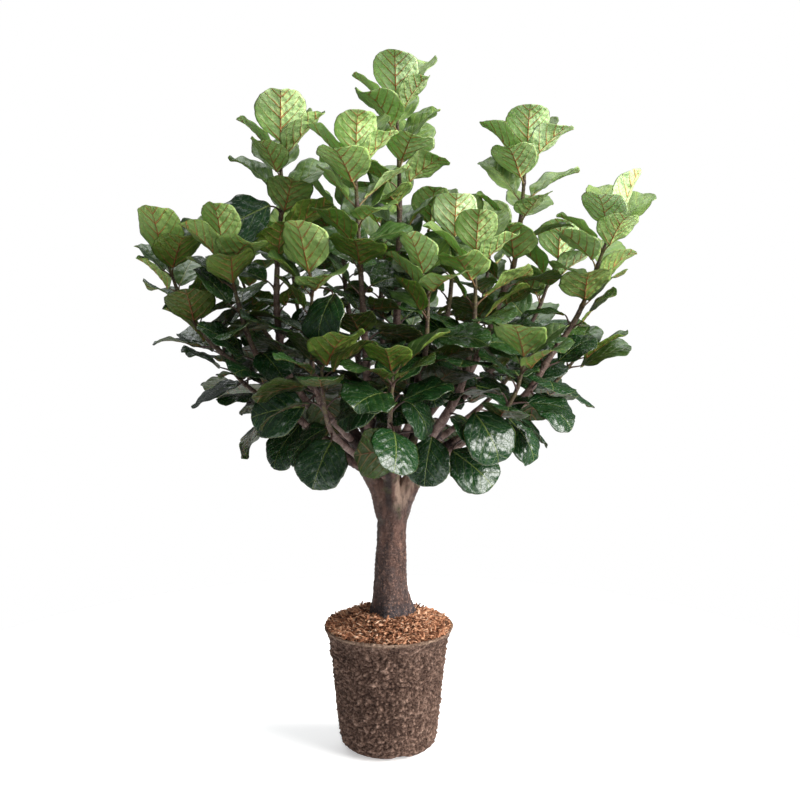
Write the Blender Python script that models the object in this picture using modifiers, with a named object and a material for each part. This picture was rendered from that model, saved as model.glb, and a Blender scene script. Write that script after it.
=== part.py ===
"""A potted aralia: a small tree with big round leaves, standing in a pulp nursery pot.

Frame: metres, +Z up. The origin is the centre of the pot's flat underside, which stands
on the floor, and the tree's best side faces -Y. Angles are in degrees. An azimuth is a
direction seen from above: 0 is +X, 90 is +Y and -90 is the front.

The pieces are the pot, the potting soil in it, the ring of husk mulch on the soil, the
trunk with its bare limbs, the leafy shoots that grow on from the limbs, and the big old
leaves that hang from the limbs on long stalks. A shoot's stem and its leaves are one
grown body. A stalk with its blade is a chain of lozenge-shaped sections that leaves the
stem through one of its side faces.
"""

import math

import bmesh
import bpy
from mathutils import Vector
from mathutils.bvhtree import BVHTree

UP = Vector((0.0, 0.0, 1.0))
GAP = 0.0004  # left between pieces that touch

# The pot: moulded wood pulp with a thin lip that turns out.
POT_HEIGHT = 0.335
POT_LIP_RADIUS = 0.170
POT_TOP_RADIUS = 0.1565
POT_FOOT_RADIUS = 0.130
POT_FOOT_ROUNDING = 0.038
POT_SHOULDER = 0.290  # the height at which the wall starts to turn out
POT_WALL = 0.007
POT_FLOOR = 0.008
POT_TURNS = 32

# What fills it.
SOIL_TOP = 0.285
MULCH_EDGE_TOP = 0.326
MULCH_CROWN_TOP = 0.366
MULCH_HOLE = 0.0725
SOIL_CLEARANCE = 0.0014  # between the pot's wall and what fills it
STUMP_DEPTH = 0.090  # how far the trunk's foot goes down into the soil

# The trunk, by height, radius and how far its middle leans to +X.
TRUNK_SHAPE = (
    (SOIL_TOP - STUMP_DEPTH, 0.046, 0.000),
    (SOIL_TOP, 0.060, 0.000),
    (0.340, 0.064, 0.006),
    (0.366, 0.062, 0.010),
    (0.386, 0.053, 0.009),
    (0.410, 0.047, 0.008),
    (0.450, 0.043, 0.005),
    (0.510, 0.0395, 0.006),
    (0.575, 0.0368, 0.008),
    (0.635, 0.0368, 0.009),
    (0.672, 0.042, 0.010),
    (0.700, 0.038, 0.010),
)
TRUNK_SIDES = 14

# The main limbs, from inside the trunk's fork: points, radius at the foot and at the end.
MAIN_LIMBS = {
    "left": (((0.000, 0.000, 0.630), (-0.022, -0.006, 0.700), (-0.068, -0.020, 0.780)), 0.034, 0.021),
    "right": (((0.018, 0.000, 0.630), (0.047, -0.008, 0.695), (0.090, -0.020, 0.770)), 0.033, 0.021),
    "front": (((0.009, -0.005, 0.645), (0.008, -0.034, 0.715), (0.010, -0.075, 0.775)), 0.024, 0.017),
    "back": (((0.009, 0.005, 0.645), (0.010, 0.040, 0.710), (0.012, 0.090, 0.775)), 0.026, 0.018),
    "middle": (((0.009, 0.000, 0.650), (0.012, 0.004, 0.725), (0.010, 0.006, 0.795)), 0.024, 0.017),
}

# The stems that branch from them. Each has its main limb and how far along that it starts,
# the points it passes through, its radius at the first of these, its number of leaves and
# the azimuth of its topmost leaf. The bare limb ends and the leafy shoot begins at the
# first point.
STEMS = {
    "tall_left": ("left", 0.7, ((-0.110, -0.060, 0.840), (-0.180, -0.090, 0.910), (-0.245, -0.100, 1.000),
                                (-0.272, -0.100, 1.120), (-0.275, -0.100, 1.250), (-0.262, -0.100, 1.420),
                                (-0.262, -0.100, 1.570)), 0.0125, 26, -84),
    "leader": ("middle", 0.8, ((0.010, 0.000, 0.840), (0.019, 0.000, 0.950), (0.022, 0.000, 1.190),
                               (0.028, 0.000, 1.440), (0.020, 0.000, 1.680)), 0.0125, 30, -95),
    "tall_right": ("right", 0.7, ((0.120, 0.000, 0.840), (0.180, 0.000, 0.950), (0.250, 0.000, 1.090),
                                  (0.283, 0.000, 1.187), (0.320, 0.000, 1.290), (0.335, 0.000, 1.420),
                                  (0.344, 0.000, 1.555)), 0.0125, 25, -88),
    "far_left": ("left", 0.9, ((-0.135, -0.005, 0.840), (-0.250, 0.000, 0.935), (-0.390, 0.000, 1.020),
                               (-0.485, 0.000, 1.118), (-0.530, 0.000, 1.200), (-0.560, 0.000, 1.285)),
                 0.0120, 19, -115),
    "far_right": ("right", 0.9, ((0.155, -0.040, 0.820), (0.258, -0.050, 0.886), (0.346, -0.050, 0.951),
                                 (0.410, -0.050, 1.053), (0.475, -0.050, 1.154), (0.522, -0.050, 1.279),
                                 (0.558, -0.050, 1.385)), 0.0120, 21, -30),
    "centre_left": ("front", 0.6, ((-0.045, -0.100, 0.830), (-0.050, -0.160, 0.950), (-0.056, -0.200, 1.100),
                                   (-0.068, -0.200, 1.300), (-0.080, -0.200, 1.540)), 0.0115, 25, -80),
    "front_right": ("front", 0.9, ((0.085, -0.120, 0.830), (0.130, -0.160, 0.900), (0.172, -0.190, 0.980),
                                   (0.200, -0.200, 1.100), (0.208, -0.200, 1.200), (0.206, -0.200, 1.310)),
                    0.0115, 17, -84),
    "left": ("left", 0.8, ((-0.140, -0.085, 0.820), (-0.250, -0.140, 0.940), (-0.330, -0.150, 1.080),
                           (-0.370, -0.150, 1.210), (-0.392, -0.150, 1.320)), 0.0110, 16, -70),
    "centre_right": ("middle", 0.6, ((0.070, -0.045, 0.850), (0.115, -0.075, 1.000), (0.150, -0.090, 1.180),
                                     (0.160, -0.090, 1.340)), 0.0110, 16, -100),
    "front_left_high": ("left", 0.5, ((-0.080, -0.110, 0.830), (-0.165, -0.185, 0.950),
                                      (-0.185, -0.225, 1.080), (-0.180, -0.235, 1.260)), 0.0100, 13, -80),
    "front_left_low": ("front", 0.7, ((-0.070, -0.150, 0.810), (-0.130, -0.245, 0.880),
                                      (-0.150, -0.310, 0.960), (-0.155, -0.335, 1.060)), 0.0100, 9, -60),
    "front_centre": ("front", 0.9, ((0.005, -0.150, 0.815), (0.002, -0.250, 0.880), (0.005, -0.325, 0.960),
                                    (0.010, -0.350, 1.050)), 0.0100, 9, -100),
    "front_mid": ("front", 0.5, ((0.040, -0.100, 0.850), (0.075, -0.185, 0.980), (0.090, -0.230, 1.100),
                                 (0.095, -0.240, 1.260)), 0.0100, 13, -75),
    "front_right_low": ("right", 0.8, ((0.135, -0.110, 0.805), (0.225, -0.190, 0.885),
                                       (0.295, -0.245, 0.970), (0.325, -0.265, 1.070)), 0.0100, 10, -110),
    "left_low": ("left", 0.95, ((-0.140, 0.045, 0.805), (-0.270, 0.070, 0.885), (-0.390, 0.090, 0.970),
                                (-0.455, 0.100, 1.070)), 0.0100, 10, -120),
    "left_back": ("left", 0.6, ((-0.100, 0.075, 0.850), (-0.230, 0.140, 0.970), (-0.340, 0.190, 1.100),
                                (-0.400, 0.210, 1.240)), 0.0100, 11, -100),
    "right_low": ("right", 0.95, ((0.165, 0.020, 0.805), (0.290, 0.050, 0.875), (0.410, 0.060, 0.945),
                                  (0.490, 0.070, 1.030)), 0.0100, 10, -70),
    "right_back": ("right", 0.6, ((0.130, 0.080, 0.850), (0.255, 0.130, 0.970), (0.375, 0.170, 1.100),
                                  (0.445, 0.180, 1.270)), 0.0100, 13, -85),
    "inner_left": ("middle", 0.7, ((-0.035, 0.060, 0.850), (-0.080, 0.120, 1.020), (-0.115, 0.150, 1.220),
                                   (-0.120, 0.150, 1.450)), 0.0105, 14, -105),
    "inner_right": ("middle", 0.5, ((0.055, 0.060, 0.850), (0.085, 0.130, 1.020), (0.105, 0.160, 1.200),
                                    (0.105, 0.160, 1.360)), 0.0105, 12, -75),
    "back_left_high": ("back", 0.6, ((-0.070, 0.135, 0.840), (-0.165, 0.230, 0.955), (-0.240, 0.290, 1.100),
                                     (-0.270, 0.310, 1.280)), 0.0105, 12, 80),
    "back_left_low": ("back", 0.9, ((-0.090, 0.175, 0.795), (-0.205, 0.290, 0.865), (-0.300, 0.380, 0.950),
                                    (-0.340, 0.410, 1.050)), 0.0100, 9, 110),
    "back_centre_high": ("back", 0.5, ((0.000, 0.140, 0.850), (-0.010, 0.240, 0.980), (-0.020, 0.310, 1.150),
                                       (-0.020, 0.335, 1.360)), 0.0105, 13, 95),
    "back_centre_low": ("back", 0.95, ((0.020, 0.200, 0.800), (0.045, 0.330, 0.870), (0.060, 0.430, 0.960),
                                       (0.060, 0.460, 1.060)), 0.0100, 9, 70),
    "back_right_high": ("back", 0.65, ((0.085, 0.130, 0.840), (0.185, 0.220, 0.960), (0.250, 0.280, 1.120),
                                       (0.280, 0.300, 1.300)), 0.0105, 12, 100),
    "back_right_low": ("back", 0.85, ((0.120, 0.160, 0.790), (0.250, 0.265, 0.865), (0.345, 0.355, 0.950),
                                      (0.385, 0.385, 1.050)), 0.0100, 9, 60),
}
LIMB_FOOT_RADIUS = 0.0155
SHOOT_TIP_RADIUS = 0.0035
PATH_STEPS = 6  # samples between two of a stem's points
LEAFY_FROM = 0.92  # the height at which the shoots' leaves begin
SHOOT_SIDES = 5
LIMB_SIDES = 6

# The old leaves that hang on long stalks: the place of the blade's foot, the azimuth and
# rise of its midrib, the roll about the midrib and the blade's length. Each stalk starts
# at the nearest stem that it can reach freely.
OLD_LEAVES = {
    "leaf_front_dark": ((0.037, -0.260, 0.850), 182, 3, -80, 0.130),
    "leaf_front_folded": ((0.104, -0.270, 0.880), -115, -50, 0, 0.120),
    "leaf_front_right_lower": ((0.155, -0.260, 0.845), -31, -23, -35, 0.130),
    "leaf_front_right_upper": ((0.205, -0.285, 0.945), -45, -40, -20, 0.138),
    "leaf_front_left_glossy": ((-0.135, -0.260, 0.878), -121, -40, 15, 0.130),
    "leaf_front_left_dark": ((-0.150, -0.200, 0.896), 185, -26, 20, 0.135),
    "leaf_front_left_grey": ((-0.222, -0.100, 0.880), -148, -34, 10, 0.130),
    "leaf_left_folded": ((-0.292, -0.100, 0.910), 180, -35, -10, 0.140),
    "leaf_left_glossy": ((-0.206, -0.205, 0.950), 182, -5, 60, 0.140),
    "leaf_left_round": ((-0.130, -0.270, 1.225), -135, -47, 0, 0.130),
    "leaf_left_blue": ((-0.290, -0.140, 1.425), -160, -18, 50, 0.145),
    "leaf_centre_long": ((-0.005, -0.270, 1.000), 185, -20, 30, 0.150),
    "leaf_centre_arched": ((0.035, -0.250, 0.985), -20, -38, -10, 0.125),
    "leaf_right_hanging": ((0.295, -0.150, 0.910), -15, -41, -25, 0.135),
    "leaf_right_grey": ((0.366, -0.070, 0.950), -15, -22, -20, 0.130),
    "leaf_right_back": ((0.235, 0.150, 0.850), 25, -40, 0, 0.130),
    "leaf_back_right": ((0.130, 0.235, 0.840), 60, -45, 0, 0.130),
    "leaf_back_centre": ((-0.015, 0.260, 0.840), 105, -50, 0, 0.130),
    "leaf_back_left": ((-0.140, 0.240, 0.840), 130, -40, 0, 0.130),
    "leaf_left_back": ((-0.215, 0.130, 0.860), 160, -35, 0, 0.130),
    "leaf_under_left": ((-0.125, 0.110, 0.800), 150, -50, 0, 0.115),
    "leaf_under_right": ((0.150, 0.090, 0.800), 20, -50, 0, 0.115),
}

# A leaf: an almost round blade on a short stalk.
GOLDEN_ANGLE = 137.5  # from one leaf to the next round the stem
LEAF_LENGTH = 0.134
LEAF_WIDTH = 0.98  # of its length
TOP_RISE = 76  # of the topmost leaf
TOP_RISE_LOST = 210  # for each metre that it is below the next height
TOP_RISE_FROM = 1.20
YOUNG_RISE = 56  # of the leaves below it, before they sink with age
RISE_LOST = 50
RISE_WOBBLE = 8
RISE_WOBBLE_GAIN = 26  # more for a shoot's lowest leaves
ROLL_WOBBLE = 24
LEAF_HALF_THICKNESS = 0.0010
STALK_HALF_THICKNESS = 0.0018
BUD_HALF_HEIGHT = 0.0035  # of the side faces that the stalks grow from
BLADE_STATIONS = (0.0, 0.28, 0.66, 1.0)
CLEARANCE = 0.0012
STEM_CLEARANCE = 0.0025
# Turns, tilts and sizes that are tried until a leaf is clear of what grew before it.
TURNS = (0, 14, -14, 28, -28, 42, -42, 56, -56)
TILTS = (0, 10, -10, 20, -20)
SIZES = (1.0, 0.88, 0.76)
MOST_TRIES = 40
FOOT_NUDGES = ((0.0, 0.0, 0.0), (0.0, -0.02, 0.0), (0.0, 0.0, 0.02), (0.0, 0.0, -0.02), (0.02, 0.0, 0.0),
               (-0.02, 0.0, 0.0), (0.0, -0.04, 0.0), (0.0, 0.0, 0.04), (0.0, 0.0, -0.04), (0.04, 0.0, 0.0),
               (-0.04, 0.0, 0.0), (0.0, 0.03, 0.0))
STALK_PLACES = tuple(k / 20 for k in range(1, 20))  # where on its stem an old leaf may start
STALK_SPACE = 0.0045  # between an old leaf's stalk and the middle of the stem's flat side


# ------------------------------------------------------------------- paths and tubes
def smooth_path(points, steps):
    """Samples of the smooth curve through the points, with the points among them."""
    ends = [2 * Vector(points[0]) - Vector(points[1]), 2 * Vector(points[-1]) - Vector(points[-2])]
    knots = ends[:1] + [Vector(p) for p in points] + ends[1:]
    path = []
    for i in range(1, len(knots) - 2):
        a, b, c, d = knots[i - 1:i + 3]
        for k in range(steps):
            t = k / steps
            linear = (c - a) * t
            square = (2 * a - 5 * b + 4 * c - d) * t ** 2
            cube = (3 * b - a - 3 * c + d) * t ** 3
            path.append(0.5 * (2 * b + linear + square + cube))
    path.append(knots[-2])
    return path


def along_path(path, fraction):
    """The point and direction at a fraction of a path's length."""
    lengths = [(b - a).length for a, b in zip(path, path[1:])]
    left = fraction * sum(lengths)
    for i, length in enumerate(lengths):
        if left <= length or i == len(lengths) - 1:
            direction = (path[i + 1] - path[i]).normalized()
            return path[i] + direction * min(left, length), direction
        left -= length


def ring(centre, direction, radius, sides):
    """A ring of points round a direction, counter-clockwise as seen from its far end."""
    across = direction.cross(Vector((0.0, 1.0, 0.0))).normalized()
    beyond = direction.cross(across)
    angles = [2 * math.pi * k / sides for k in range(sides)]
    return [centre + radius * (across * math.cos(a) + beyond * math.sin(a)) for a in angles]


def loft_faces(sections):
    """The faces of a closed body through sections with equal numbers of points."""
    sides = len(sections[0])
    faces = [list(range(sides))[::-1]]
    for low in range(0, (len(sections) - 1) * sides, sides):
        for k in range(sides):
            after = (k + 1) % sides
            faces.append([low + k, low + after, low + sides + after, low + sides + k])
    faces.append(list(range((len(sections) - 1) * sides, len(sections) * sides)))
    return faces


def tree_of(sections):
    """The sections' closed surface, ready for overlap tests."""
    points = [p for section in sections for p in section]
    return BVHTree.FromPolygons(points, loft_faces(sections))


# ------------------------------------------------------------------------- one leaf
class Leaf:
    """A blade on its stalk: where the stalk starts, where the blade does, and its shape."""

    def __init__(self, start, foot, azimuth, rise, roll, length, age, fraction=0.0,
                 root=STALK_HALF_THICKNESS):
        self.fraction = fraction  # how far up its shoot it grows
        self.root = root  # half the stalk's thickness where it starts
        self.start = start
        self.foot = foot
        self.length = length
        self.age = age  # 0 is the youngest, 1 the oldest
        self.bend = math.radians(12 + 26 * age)
        self.cup = math.radians(16 - 20 * age)
        a = math.radians(azimuth)
        r = math.radians(rise)
        heading = Vector((math.cos(a), math.sin(a), 0.0))
        self.along = heading * math.cos(r) + UP * math.sin(r)
        level = UP * math.cos(r) - heading * math.sin(r)
        side = self.along.cross(level)
        turn = math.radians(roll)
        self.side = side * math.cos(turn) + level * math.sin(turn)
        self.upper = level * math.cos(turn) - side * math.sin(turn)

    def midrib(self, t):
        """The midrib's point and upward direction at a fraction of the blade's length."""
        angle = self.bend * t
        reach = self.length * math.sin(angle) / self.bend
        drop = self.length * (1 - math.cos(angle)) / self.bend
        point = self.foot + self.along * reach - self.upper * drop
        return point, self.upper * math.cos(angle) + self.along * math.sin(angle)

    def half_width(self, t):
        """Half the blade's width: nearly round, widest past the middle, blunt at both ends."""
        u = 2 * t ** 1.12 - 1
        full = max(0.0, 1 - abs(u) ** 2.4) ** 0.5
        blunt = 0.05 if t < 0.5 else 0.22
        return 0.5 * LEAF_WIDTH * self.length * max(full, blunt)

    def blade_sections(self, swell=0.0):
        """Lozenge sections of the blade: side, under, side, over. The first is mitred."""
        sections = []
        for t in BLADE_STATIONS:
            centre, upper = self.midrib(t)
            side = self.side
            if t == 0.0:
                turn = ((self.foot - self.start).normalized() + self.along).normalized()
                side = (side - turn * side.dot(turn)).normalized()
                upper = side.cross(turn)
            half = self.half_width(t) + swell
            out = side * half * math.cos(self.cup)
            lift = upper * half * math.sin(self.cup)
            thick = upper * (LEAF_HALF_THICKNESS + swell)
            sections.append([centre + out + lift, centre - thick, centre - out + lift, centre + thick])
        return sections

    def stalk_start(self, swell=0.0):
        """The stalk's first section, square to its own direction."""
        direction = (self.foot - self.start).normalized()
        side = (self.side - direction * self.side.dot(direction)).normalized()
        over = side.cross(direction)
        size = self.root + swell
        return [self.start + side * size, self.start - over * size,
                self.start - side * size, self.start + over * size]

    def centre(self):
        return self.midrib(0.5)[0]

    def reach(self):
        """The furthest that any point of the leaf is from its centre."""
        return 0.72 * self.length + (self.foot - self.start).length


def grown_leaf(point, direction, radius, azimuth, rise, roll, length, age, fraction):
    """A leaf on a stem: its stalk leaves the stem squarely and the blade has its own slant."""
    a = math.radians(azimuth)
    heading = Vector((math.cos(a), math.sin(a), 0.0))
    out = (heading - direction * heading.dot(direction)).normalized()
    stalk = (out + 0.5 * direction + (0.2 + 0.006 * rise) * UP).normalized()
    reach = 0.018 + 0.022 * age
    start = point + out * (radius + 0.0015)
    foot = point + out * radius + stalk * reach
    root = max(0.75 * radius, 0.0045)
    return Leaf(start, foot, azimuth, rise, roll, length, age, fraction, root)


# ------------------------------------------------------------------------ the crown
def split_stem(name):
    """A stem's bare limb and its leafy shoot, as paths that meet at the limb's end."""
    limb, share, points = STEMS[name][:3]
    start = along_path(smooth_path(MAIN_LIMBS[limb][0], PATH_STEPS), share)[0]
    path = smooth_path((start,) + points, PATH_STEPS)
    return limb_path(path[:PATH_STEPS + 1]), path[PATH_STEPS:]


def limb_path(path):
    """A limb's path with fewer points, and a last one that squares up its end."""
    return path[:-1:3] + [path[-1] + (path[-2] - path[-1]).normalized() * 0.004, path[-1]]


def shoot_radius(name, fraction):
    thick = STEMS[name][3]
    return thick + (SHOOT_TIP_RADIUS - thick) * fraction


def tube_tree(path, thick, thin):
    """A tapered tube along a path, made thicker by the clearance, for overlap tests."""
    sections = []
    for i, point in enumerate(path):
        before = path[max(i - 1, 0)]
        after = path[min(i + 1, len(path) - 1)]
        radius = thick + (thin - thick) * i / (len(path) - 1) + STEM_CLEARANCE
        sections.append(ring(point, (after - before).normalized(), radius, LIMB_SIDES))
    return tree_of(sections)


def leafy_start(name):
    """The fraction of a shoot's length below which it has no leaves."""
    path = split_stem(name)[1]
    fractions = [i / 40 for i in range(41)]
    return next(f for f in fractions if along_path(path, f)[0].z > LEAFY_FROM)


def wanted_leaf(name, index, turn=0.0, tilt=0.0, size=1.0):
    """The shoot's leaf of that index, counted from the tip, before or after a nudge."""
    count, top_azimuth = STEMS[name][4:6]
    path = split_stem(name)[1]
    pair = index // 2
    pairs = (count + 1) // 2
    low = leafy_start(name)
    share = pair / max(1, pairs - 1)
    fraction = 0.995 - (0.995 - low) * share ** 1.25
    point, direction = along_path(path, fraction)
    age = min(1.0, 0.05 + 0.62 * share + max(0.0, 1.20 - point.z) * 1.1)
    below_tip = min(1.0, 3 * share)
    wobble = (RISE_WOBBLE + RISE_WOBBLE_GAIN * share) * math.sin(2.3 * index + len(name)) * below_tip
    roll = ROLL_WOBBLE * math.sin(1.9 * index + 2 * len(name)) * below_tip
    rise = YOUNG_RISE - RISE_LOST * age + wobble + tilt
    if index == 0:
        rise = TOP_RISE - TOP_RISE_LOST * max(0.0, TOP_RISE_FROM - point.z) + tilt
    azimuth = top_azimuth + GOLDEN_ANGLE * index + turn
    length = LEAF_LENGTH * size * (0.94 + 0.12 * math.sin(1.7 * index + len(name)))
    radius = shoot_radius(name, fraction)
    return grown_leaf(point, direction, radius, azimuth, rise, roll, length, age, fraction)


def leaf_tree(leaf):
    return tree_of([leaf.stalk_start(CLEARANCE)] + leaf.blade_sections(CLEARANCE))


def is_clear(leaf, own_stem, other_stems, leaves):
    """Whether a leaf keeps its distance from the stems and from the leaves before it."""
    blade = leaf.blade_sections()
    start = leaf.stalk_start()
    middle = [(a + b) / 2 for a, b in zip(start, blade[0])]
    if own_stem and tree_of([middle] + blade).overlap(own_stem):
        return False
    bare = tree_of([start] + blade)
    if any(bare.overlap(stem) for stem in other_stems):
        return False
    tree = leaf_tree(leaf)
    for other, other_tree in leaves:
        near = (leaf.centre() - other.centre()).length < leaf.reach() + other.reach()
        if near and tree.overlap(other_tree):
            return False
    return True


def grow_crown():
    """Every leaf of the plant, by the name of the piece it belongs to."""
    limbs = {}
    tubes = {}
    for name, (points, thick, thin) in MAIN_LIMBS.items():
        limbs["main_" + name] = tube_tree(limb_path(smooth_path(points, PATH_STEPS)), thick, thin)
    for name in STEMS:
        limb, shoot = split_stem(name)
        thick = STEMS[name][3]
        limbs[name] = tube_tree(limb, LIMB_FOOT_RADIUS, thick)
        tubes[name] = tube_tree(shoot, thick, SHOOT_TIP_RADIUS)
    grown = []
    crown = {}
    everything = list(limbs.values()) + list(tubes.values())
    for name in OLD_LEAVES:
        for leaf in old_leaf_choices(name):
            if is_clear(leaf, None, everything, grown):
                crown[name] = [leaf]
                grown.append((leaf, leaf_tree(leaf)))
                break
    for name in STEMS:
        others = [tube for key, tube in tubes.items() if key != name] + list(limbs.values())
        crown[name] = []
        for index in range(STEMS[name][4]):
            nudges = ((tilt, turn, size) for size in SIZES for tilt in TILTS for turn in TURNS)
            for tilt, turn, size in nudges:
                leaf = wanted_leaf(name, index, turn, tilt, size)
                if is_clear(leaf, tubes[name], others, grown):
                    crown[name].append(leaf)
                    grown.append((leaf, leaf_tree(leaf)))
                    break
    return crown


def old_leaf_choices(name):
    """A hanging leaf with its stalk on each of the stems, the shortest stalk first."""
    place, azimuth, rise, roll, length = OLD_LEAVES[name]
    for nudge in FOOT_NUDGES:
        foot = Vector(place) + Vector(nudge)
        choices = []
        for stem in STEMS:
            for path, radius_at in zip(split_stem(stem), (limb_radius, shoot_radius)):
                for share in STALK_PLACES:
                    point = along_path(path, share)[0]
                    start = point + (foot - point).normalized() * (radius_at(stem, share) + STALK_SPACE)
                    choices.append(Leaf(start, foot, azimuth, rise, roll, length, 1.0))
        choices.sort(key=lambda leaf: (leaf.start - leaf.foot).length)
        yield from choices[:MOST_TRIES]


def limb_radius(name, fraction):
    thin = STEMS[name][3]
    return LIMB_FOOT_RADIUS + (thin - LIMB_FOOT_RADIUS) * fraction


# ------------------------------------------------------------------ Blender helpers
def clear_scene():
    for old in list(bpy.data.objects):
        bpy.data.objects.remove(old, do_unlink=True)


def new_collection(name):
    group = bpy.data.collections.new(name)
    bpy.context.scene.collection.children.link(group)
    return group


def plain_material(name, colour, roughness):
    material = bpy.data.materials.new(name)
    material.use_nodes = True
    shader = material.node_tree.nodes["Principled BSDF"]
    shader.inputs["Base Color"].default_value = (*colour, 1.0)
    shader.inputs["Roughness"].default_value = roughness
    shader.inputs["Metallic"].default_value = 0.0
    return material


def mesh_object(name, mesh, group, material):
    thing = bpy.data.objects.new(name, mesh)
    group.objects.link(thing)
    mesh.materials.clear()
    mesh.materials.append(material)
    return thing


def turned(name, profile, group, material, turns=POT_TURNS):
    """A body turned round Z from a closed or axis-to-axis profile of (radius, height)."""
    mesh = bpy.data.meshes.new(name)
    points = [(radius, 0.0, height) for radius, height in profile]
    edges = [(i, i + 1) for i in range(len(points) - 1)]
    if profile[0][0] > 0:
        edges.append((len(points) - 1, 0))
    mesh.from_pydata(points, edges, [])
    thing = mesh_object(name, mesh, group, material)
    screw = thing.modifiers.new("turn", "SCREW")
    screw.steps = turns
    screw.render_steps = turns
    screw.use_merge_vertices = True
    screw.merge_threshold = 0.0001
    screw.use_smooth_shade = True
    return thing


# ------------------------------------------------------------------------ the pieces
def arc(centre, radius, start, end, steps):
    """Points on an arc from one angle to another, both ends included."""
    angles = [math.radians(start + (end - start) * k / steps) for k in range(steps + 1)]
    return [(centre[0] + radius * math.cos(a), centre[1] + radius * math.sin(a)) for a in angles]


def pot_inside_radius(height):
    """The radius of the pot's inner wall at a height."""
    share = (height - POT_FOOT_ROUNDING) / (POT_SHOULDER - POT_FOOT_ROUNDING)
    return POT_FOOT_RADIUS + (POT_TOP_RADIUS - POT_FOOT_RADIUS) * share - POT_WALL


def make_pot(group):
    """The pulp pot: a tapered cup with a rounded foot and a thin lip that turns out."""
    foot_radius = POT_FOOT_RADIUS - POT_FOOT_ROUNDING
    inner_rounding = POT_FOOT_ROUNDING - POT_WALL
    profile = [(0.0, POT_FLOOR)]
    profile += arc((foot_radius, POT_FLOOR + inner_rounding), inner_rounding, -90, 0, 3)
    profile += [
        (POT_TOP_RADIUS - POT_WALL, POT_SHOULDER),
        (POT_TOP_RADIUS + 0.006 - POT_WALL, POT_HEIGHT - 0.020),
        (POT_LIP_RADIUS - 0.011, POT_HEIGHT - 0.003),
        (POT_LIP_RADIUS - 0.004, POT_HEIGHT),
        (POT_LIP_RADIUS, POT_HEIGHT - 0.003),
        (POT_LIP_RADIUS - 0.005, POT_HEIGHT - 0.010),
        (POT_TOP_RADIUS + 0.006, POT_HEIGHT - 0.022),
        (POT_TOP_RADIUS, POT_SHOULDER),
    ]
    profile += arc((foot_radius, POT_FOOT_ROUNDING), POT_FOOT_ROUNDING, 0, -90, 4)
    profile.append((0.0, 0.0))
    return turned("pot", profile, group, plain_material("pulp", (0.115, 0.082, 0.062), 0.95))


def make_soil(group):
    """The root ball: it fills the pot and holds the trunk's foot in a snug pocket."""
    pocket_floor = SOIL_TOP - STUMP_DEPTH - GAP
    foot = POT_FLOOR + GAP
    foot_radius = POT_FOOT_RADIUS - POT_FOOT_ROUNDING
    rounding = POT_FOOT_ROUNDING - POT_WALL
    profile = [
        (0.0, pocket_floor),
        (TRUNK_SHAPE[0][1] + 0.002, pocket_floor),
        (TRUNK_SHAPE[1][1] + 0.002, SOIL_TOP),
        (pot_inside_radius(SOIL_TOP) - SOIL_CLEARANCE, SOIL_TOP),
    ]
    profile += arc((foot_radius, POT_FLOOR + rounding), rounding - SOIL_CLEARANCE, 0, -60, 2)
    profile += [(foot_radius - 0.002, foot), (0.0, foot)]
    return turned("potting_soil", profile, group, plain_material("soil", (0.030, 0.020, 0.014), 0.95))


def make_mulch(group):
    """The ring of shredded husk on the soil, heaped up round the trunk."""
    outer = pot_inside_radius(SOIL_TOP) - SOIL_CLEARANCE
    hole = MULCH_HOLE
    profile = [
        (hole, SOIL_TOP + GAP),
        (hole, MULCH_CROWN_TOP - 0.008),
        (hole + 0.010, MULCH_CROWN_TOP),
        (0.112, 0.346),
        (0.138, 0.331),
        (outer, MULCH_EDGE_TOP - 0.006),
        (outer, SOIL_TOP + GAP),
    ]
    return turned("husk_mulch", profile, group, plain_material("husk", (0.30, 0.13, 0.055), 0.9))


def limb_mesh(path, thick, thin):
    """A bare limb as a tapered tube, closed at both ends, from a curve."""
    curve = bpy.data.curves.new("limb", "CURVE")
    curve.dimensions = "3D"
    curve.bevel_depth = 1.0
    curve.bevel_resolution = LIMB_SIDES // 2 - 2
    curve.use_fill_caps = True
    spline = curve.splines.new("POLY")
    spline.points.add(len(path) - 1)
    for i, point in enumerate(path):
        spline.points[i].co = (*point, 1.0)
        spline.points[i].radius = thick + (thin - thick) * i / (len(path) - 1)
    guide = bpy.data.objects.new("limb", curve)
    bpy.context.scene.collection.objects.link(guide)
    ready = guide.evaluated_get(bpy.context.evaluated_depsgraph_get())
    mesh = bpy.data.meshes.new_from_object(ready)
    bpy.data.objects.remove(guide)
    shape = bmesh.new()
    shape.from_mesh(mesh)
    bmesh.ops.remove_doubles(shape, verts=shape.verts, dist=0.0001)
    bmesh.ops.recalc_face_normals(shape, faces=shape.faces)
    shape.to_mesh(mesh)
    shape.free()
    return mesh


def make_trunk(group, cutters):
    """The trunk with its root flare, and the bare limbs grown from its fork."""
    sections = []
    for height, radius, lean in TRUNK_SHAPE:
        sections.append(ring(Vector((lean, 0.0, height)), UP, radius, TRUNK_SIDES))
    mesh = bpy.data.meshes.new("trunk")
    mesh.from_pydata([p for section in sections for p in section], [], loft_faces(sections))
    bark = plain_material("bark", (0.115, 0.062, 0.045), 0.8)
    trunk = mesh_object("trunk", mesh, group, bark)
    limbs = {}
    for name, (points, thick, thin) in MAIN_LIMBS.items():
        limbs["main_" + name] = limb_mesh(limb_path(smooth_path(points, PATH_STEPS)), thick, thin)
    for name in STEMS:
        limbs[name] = limb_mesh(split_stem(name)[0], LIMB_FOOT_RADIUS, STEMS[name][3])
    for name, limb_shape in limbs.items():
        limb = mesh_object("limb_" + name, limb_shape, cutters, bark)
        limb.hide_render = True
        limb.display_type = "WIRE"
        union = trunk.modifiers.new(name, "BOOLEAN")
        union.operation = "UNION"
        union.solver = "EXACT"
        union.object = limb
    return trunk


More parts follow.
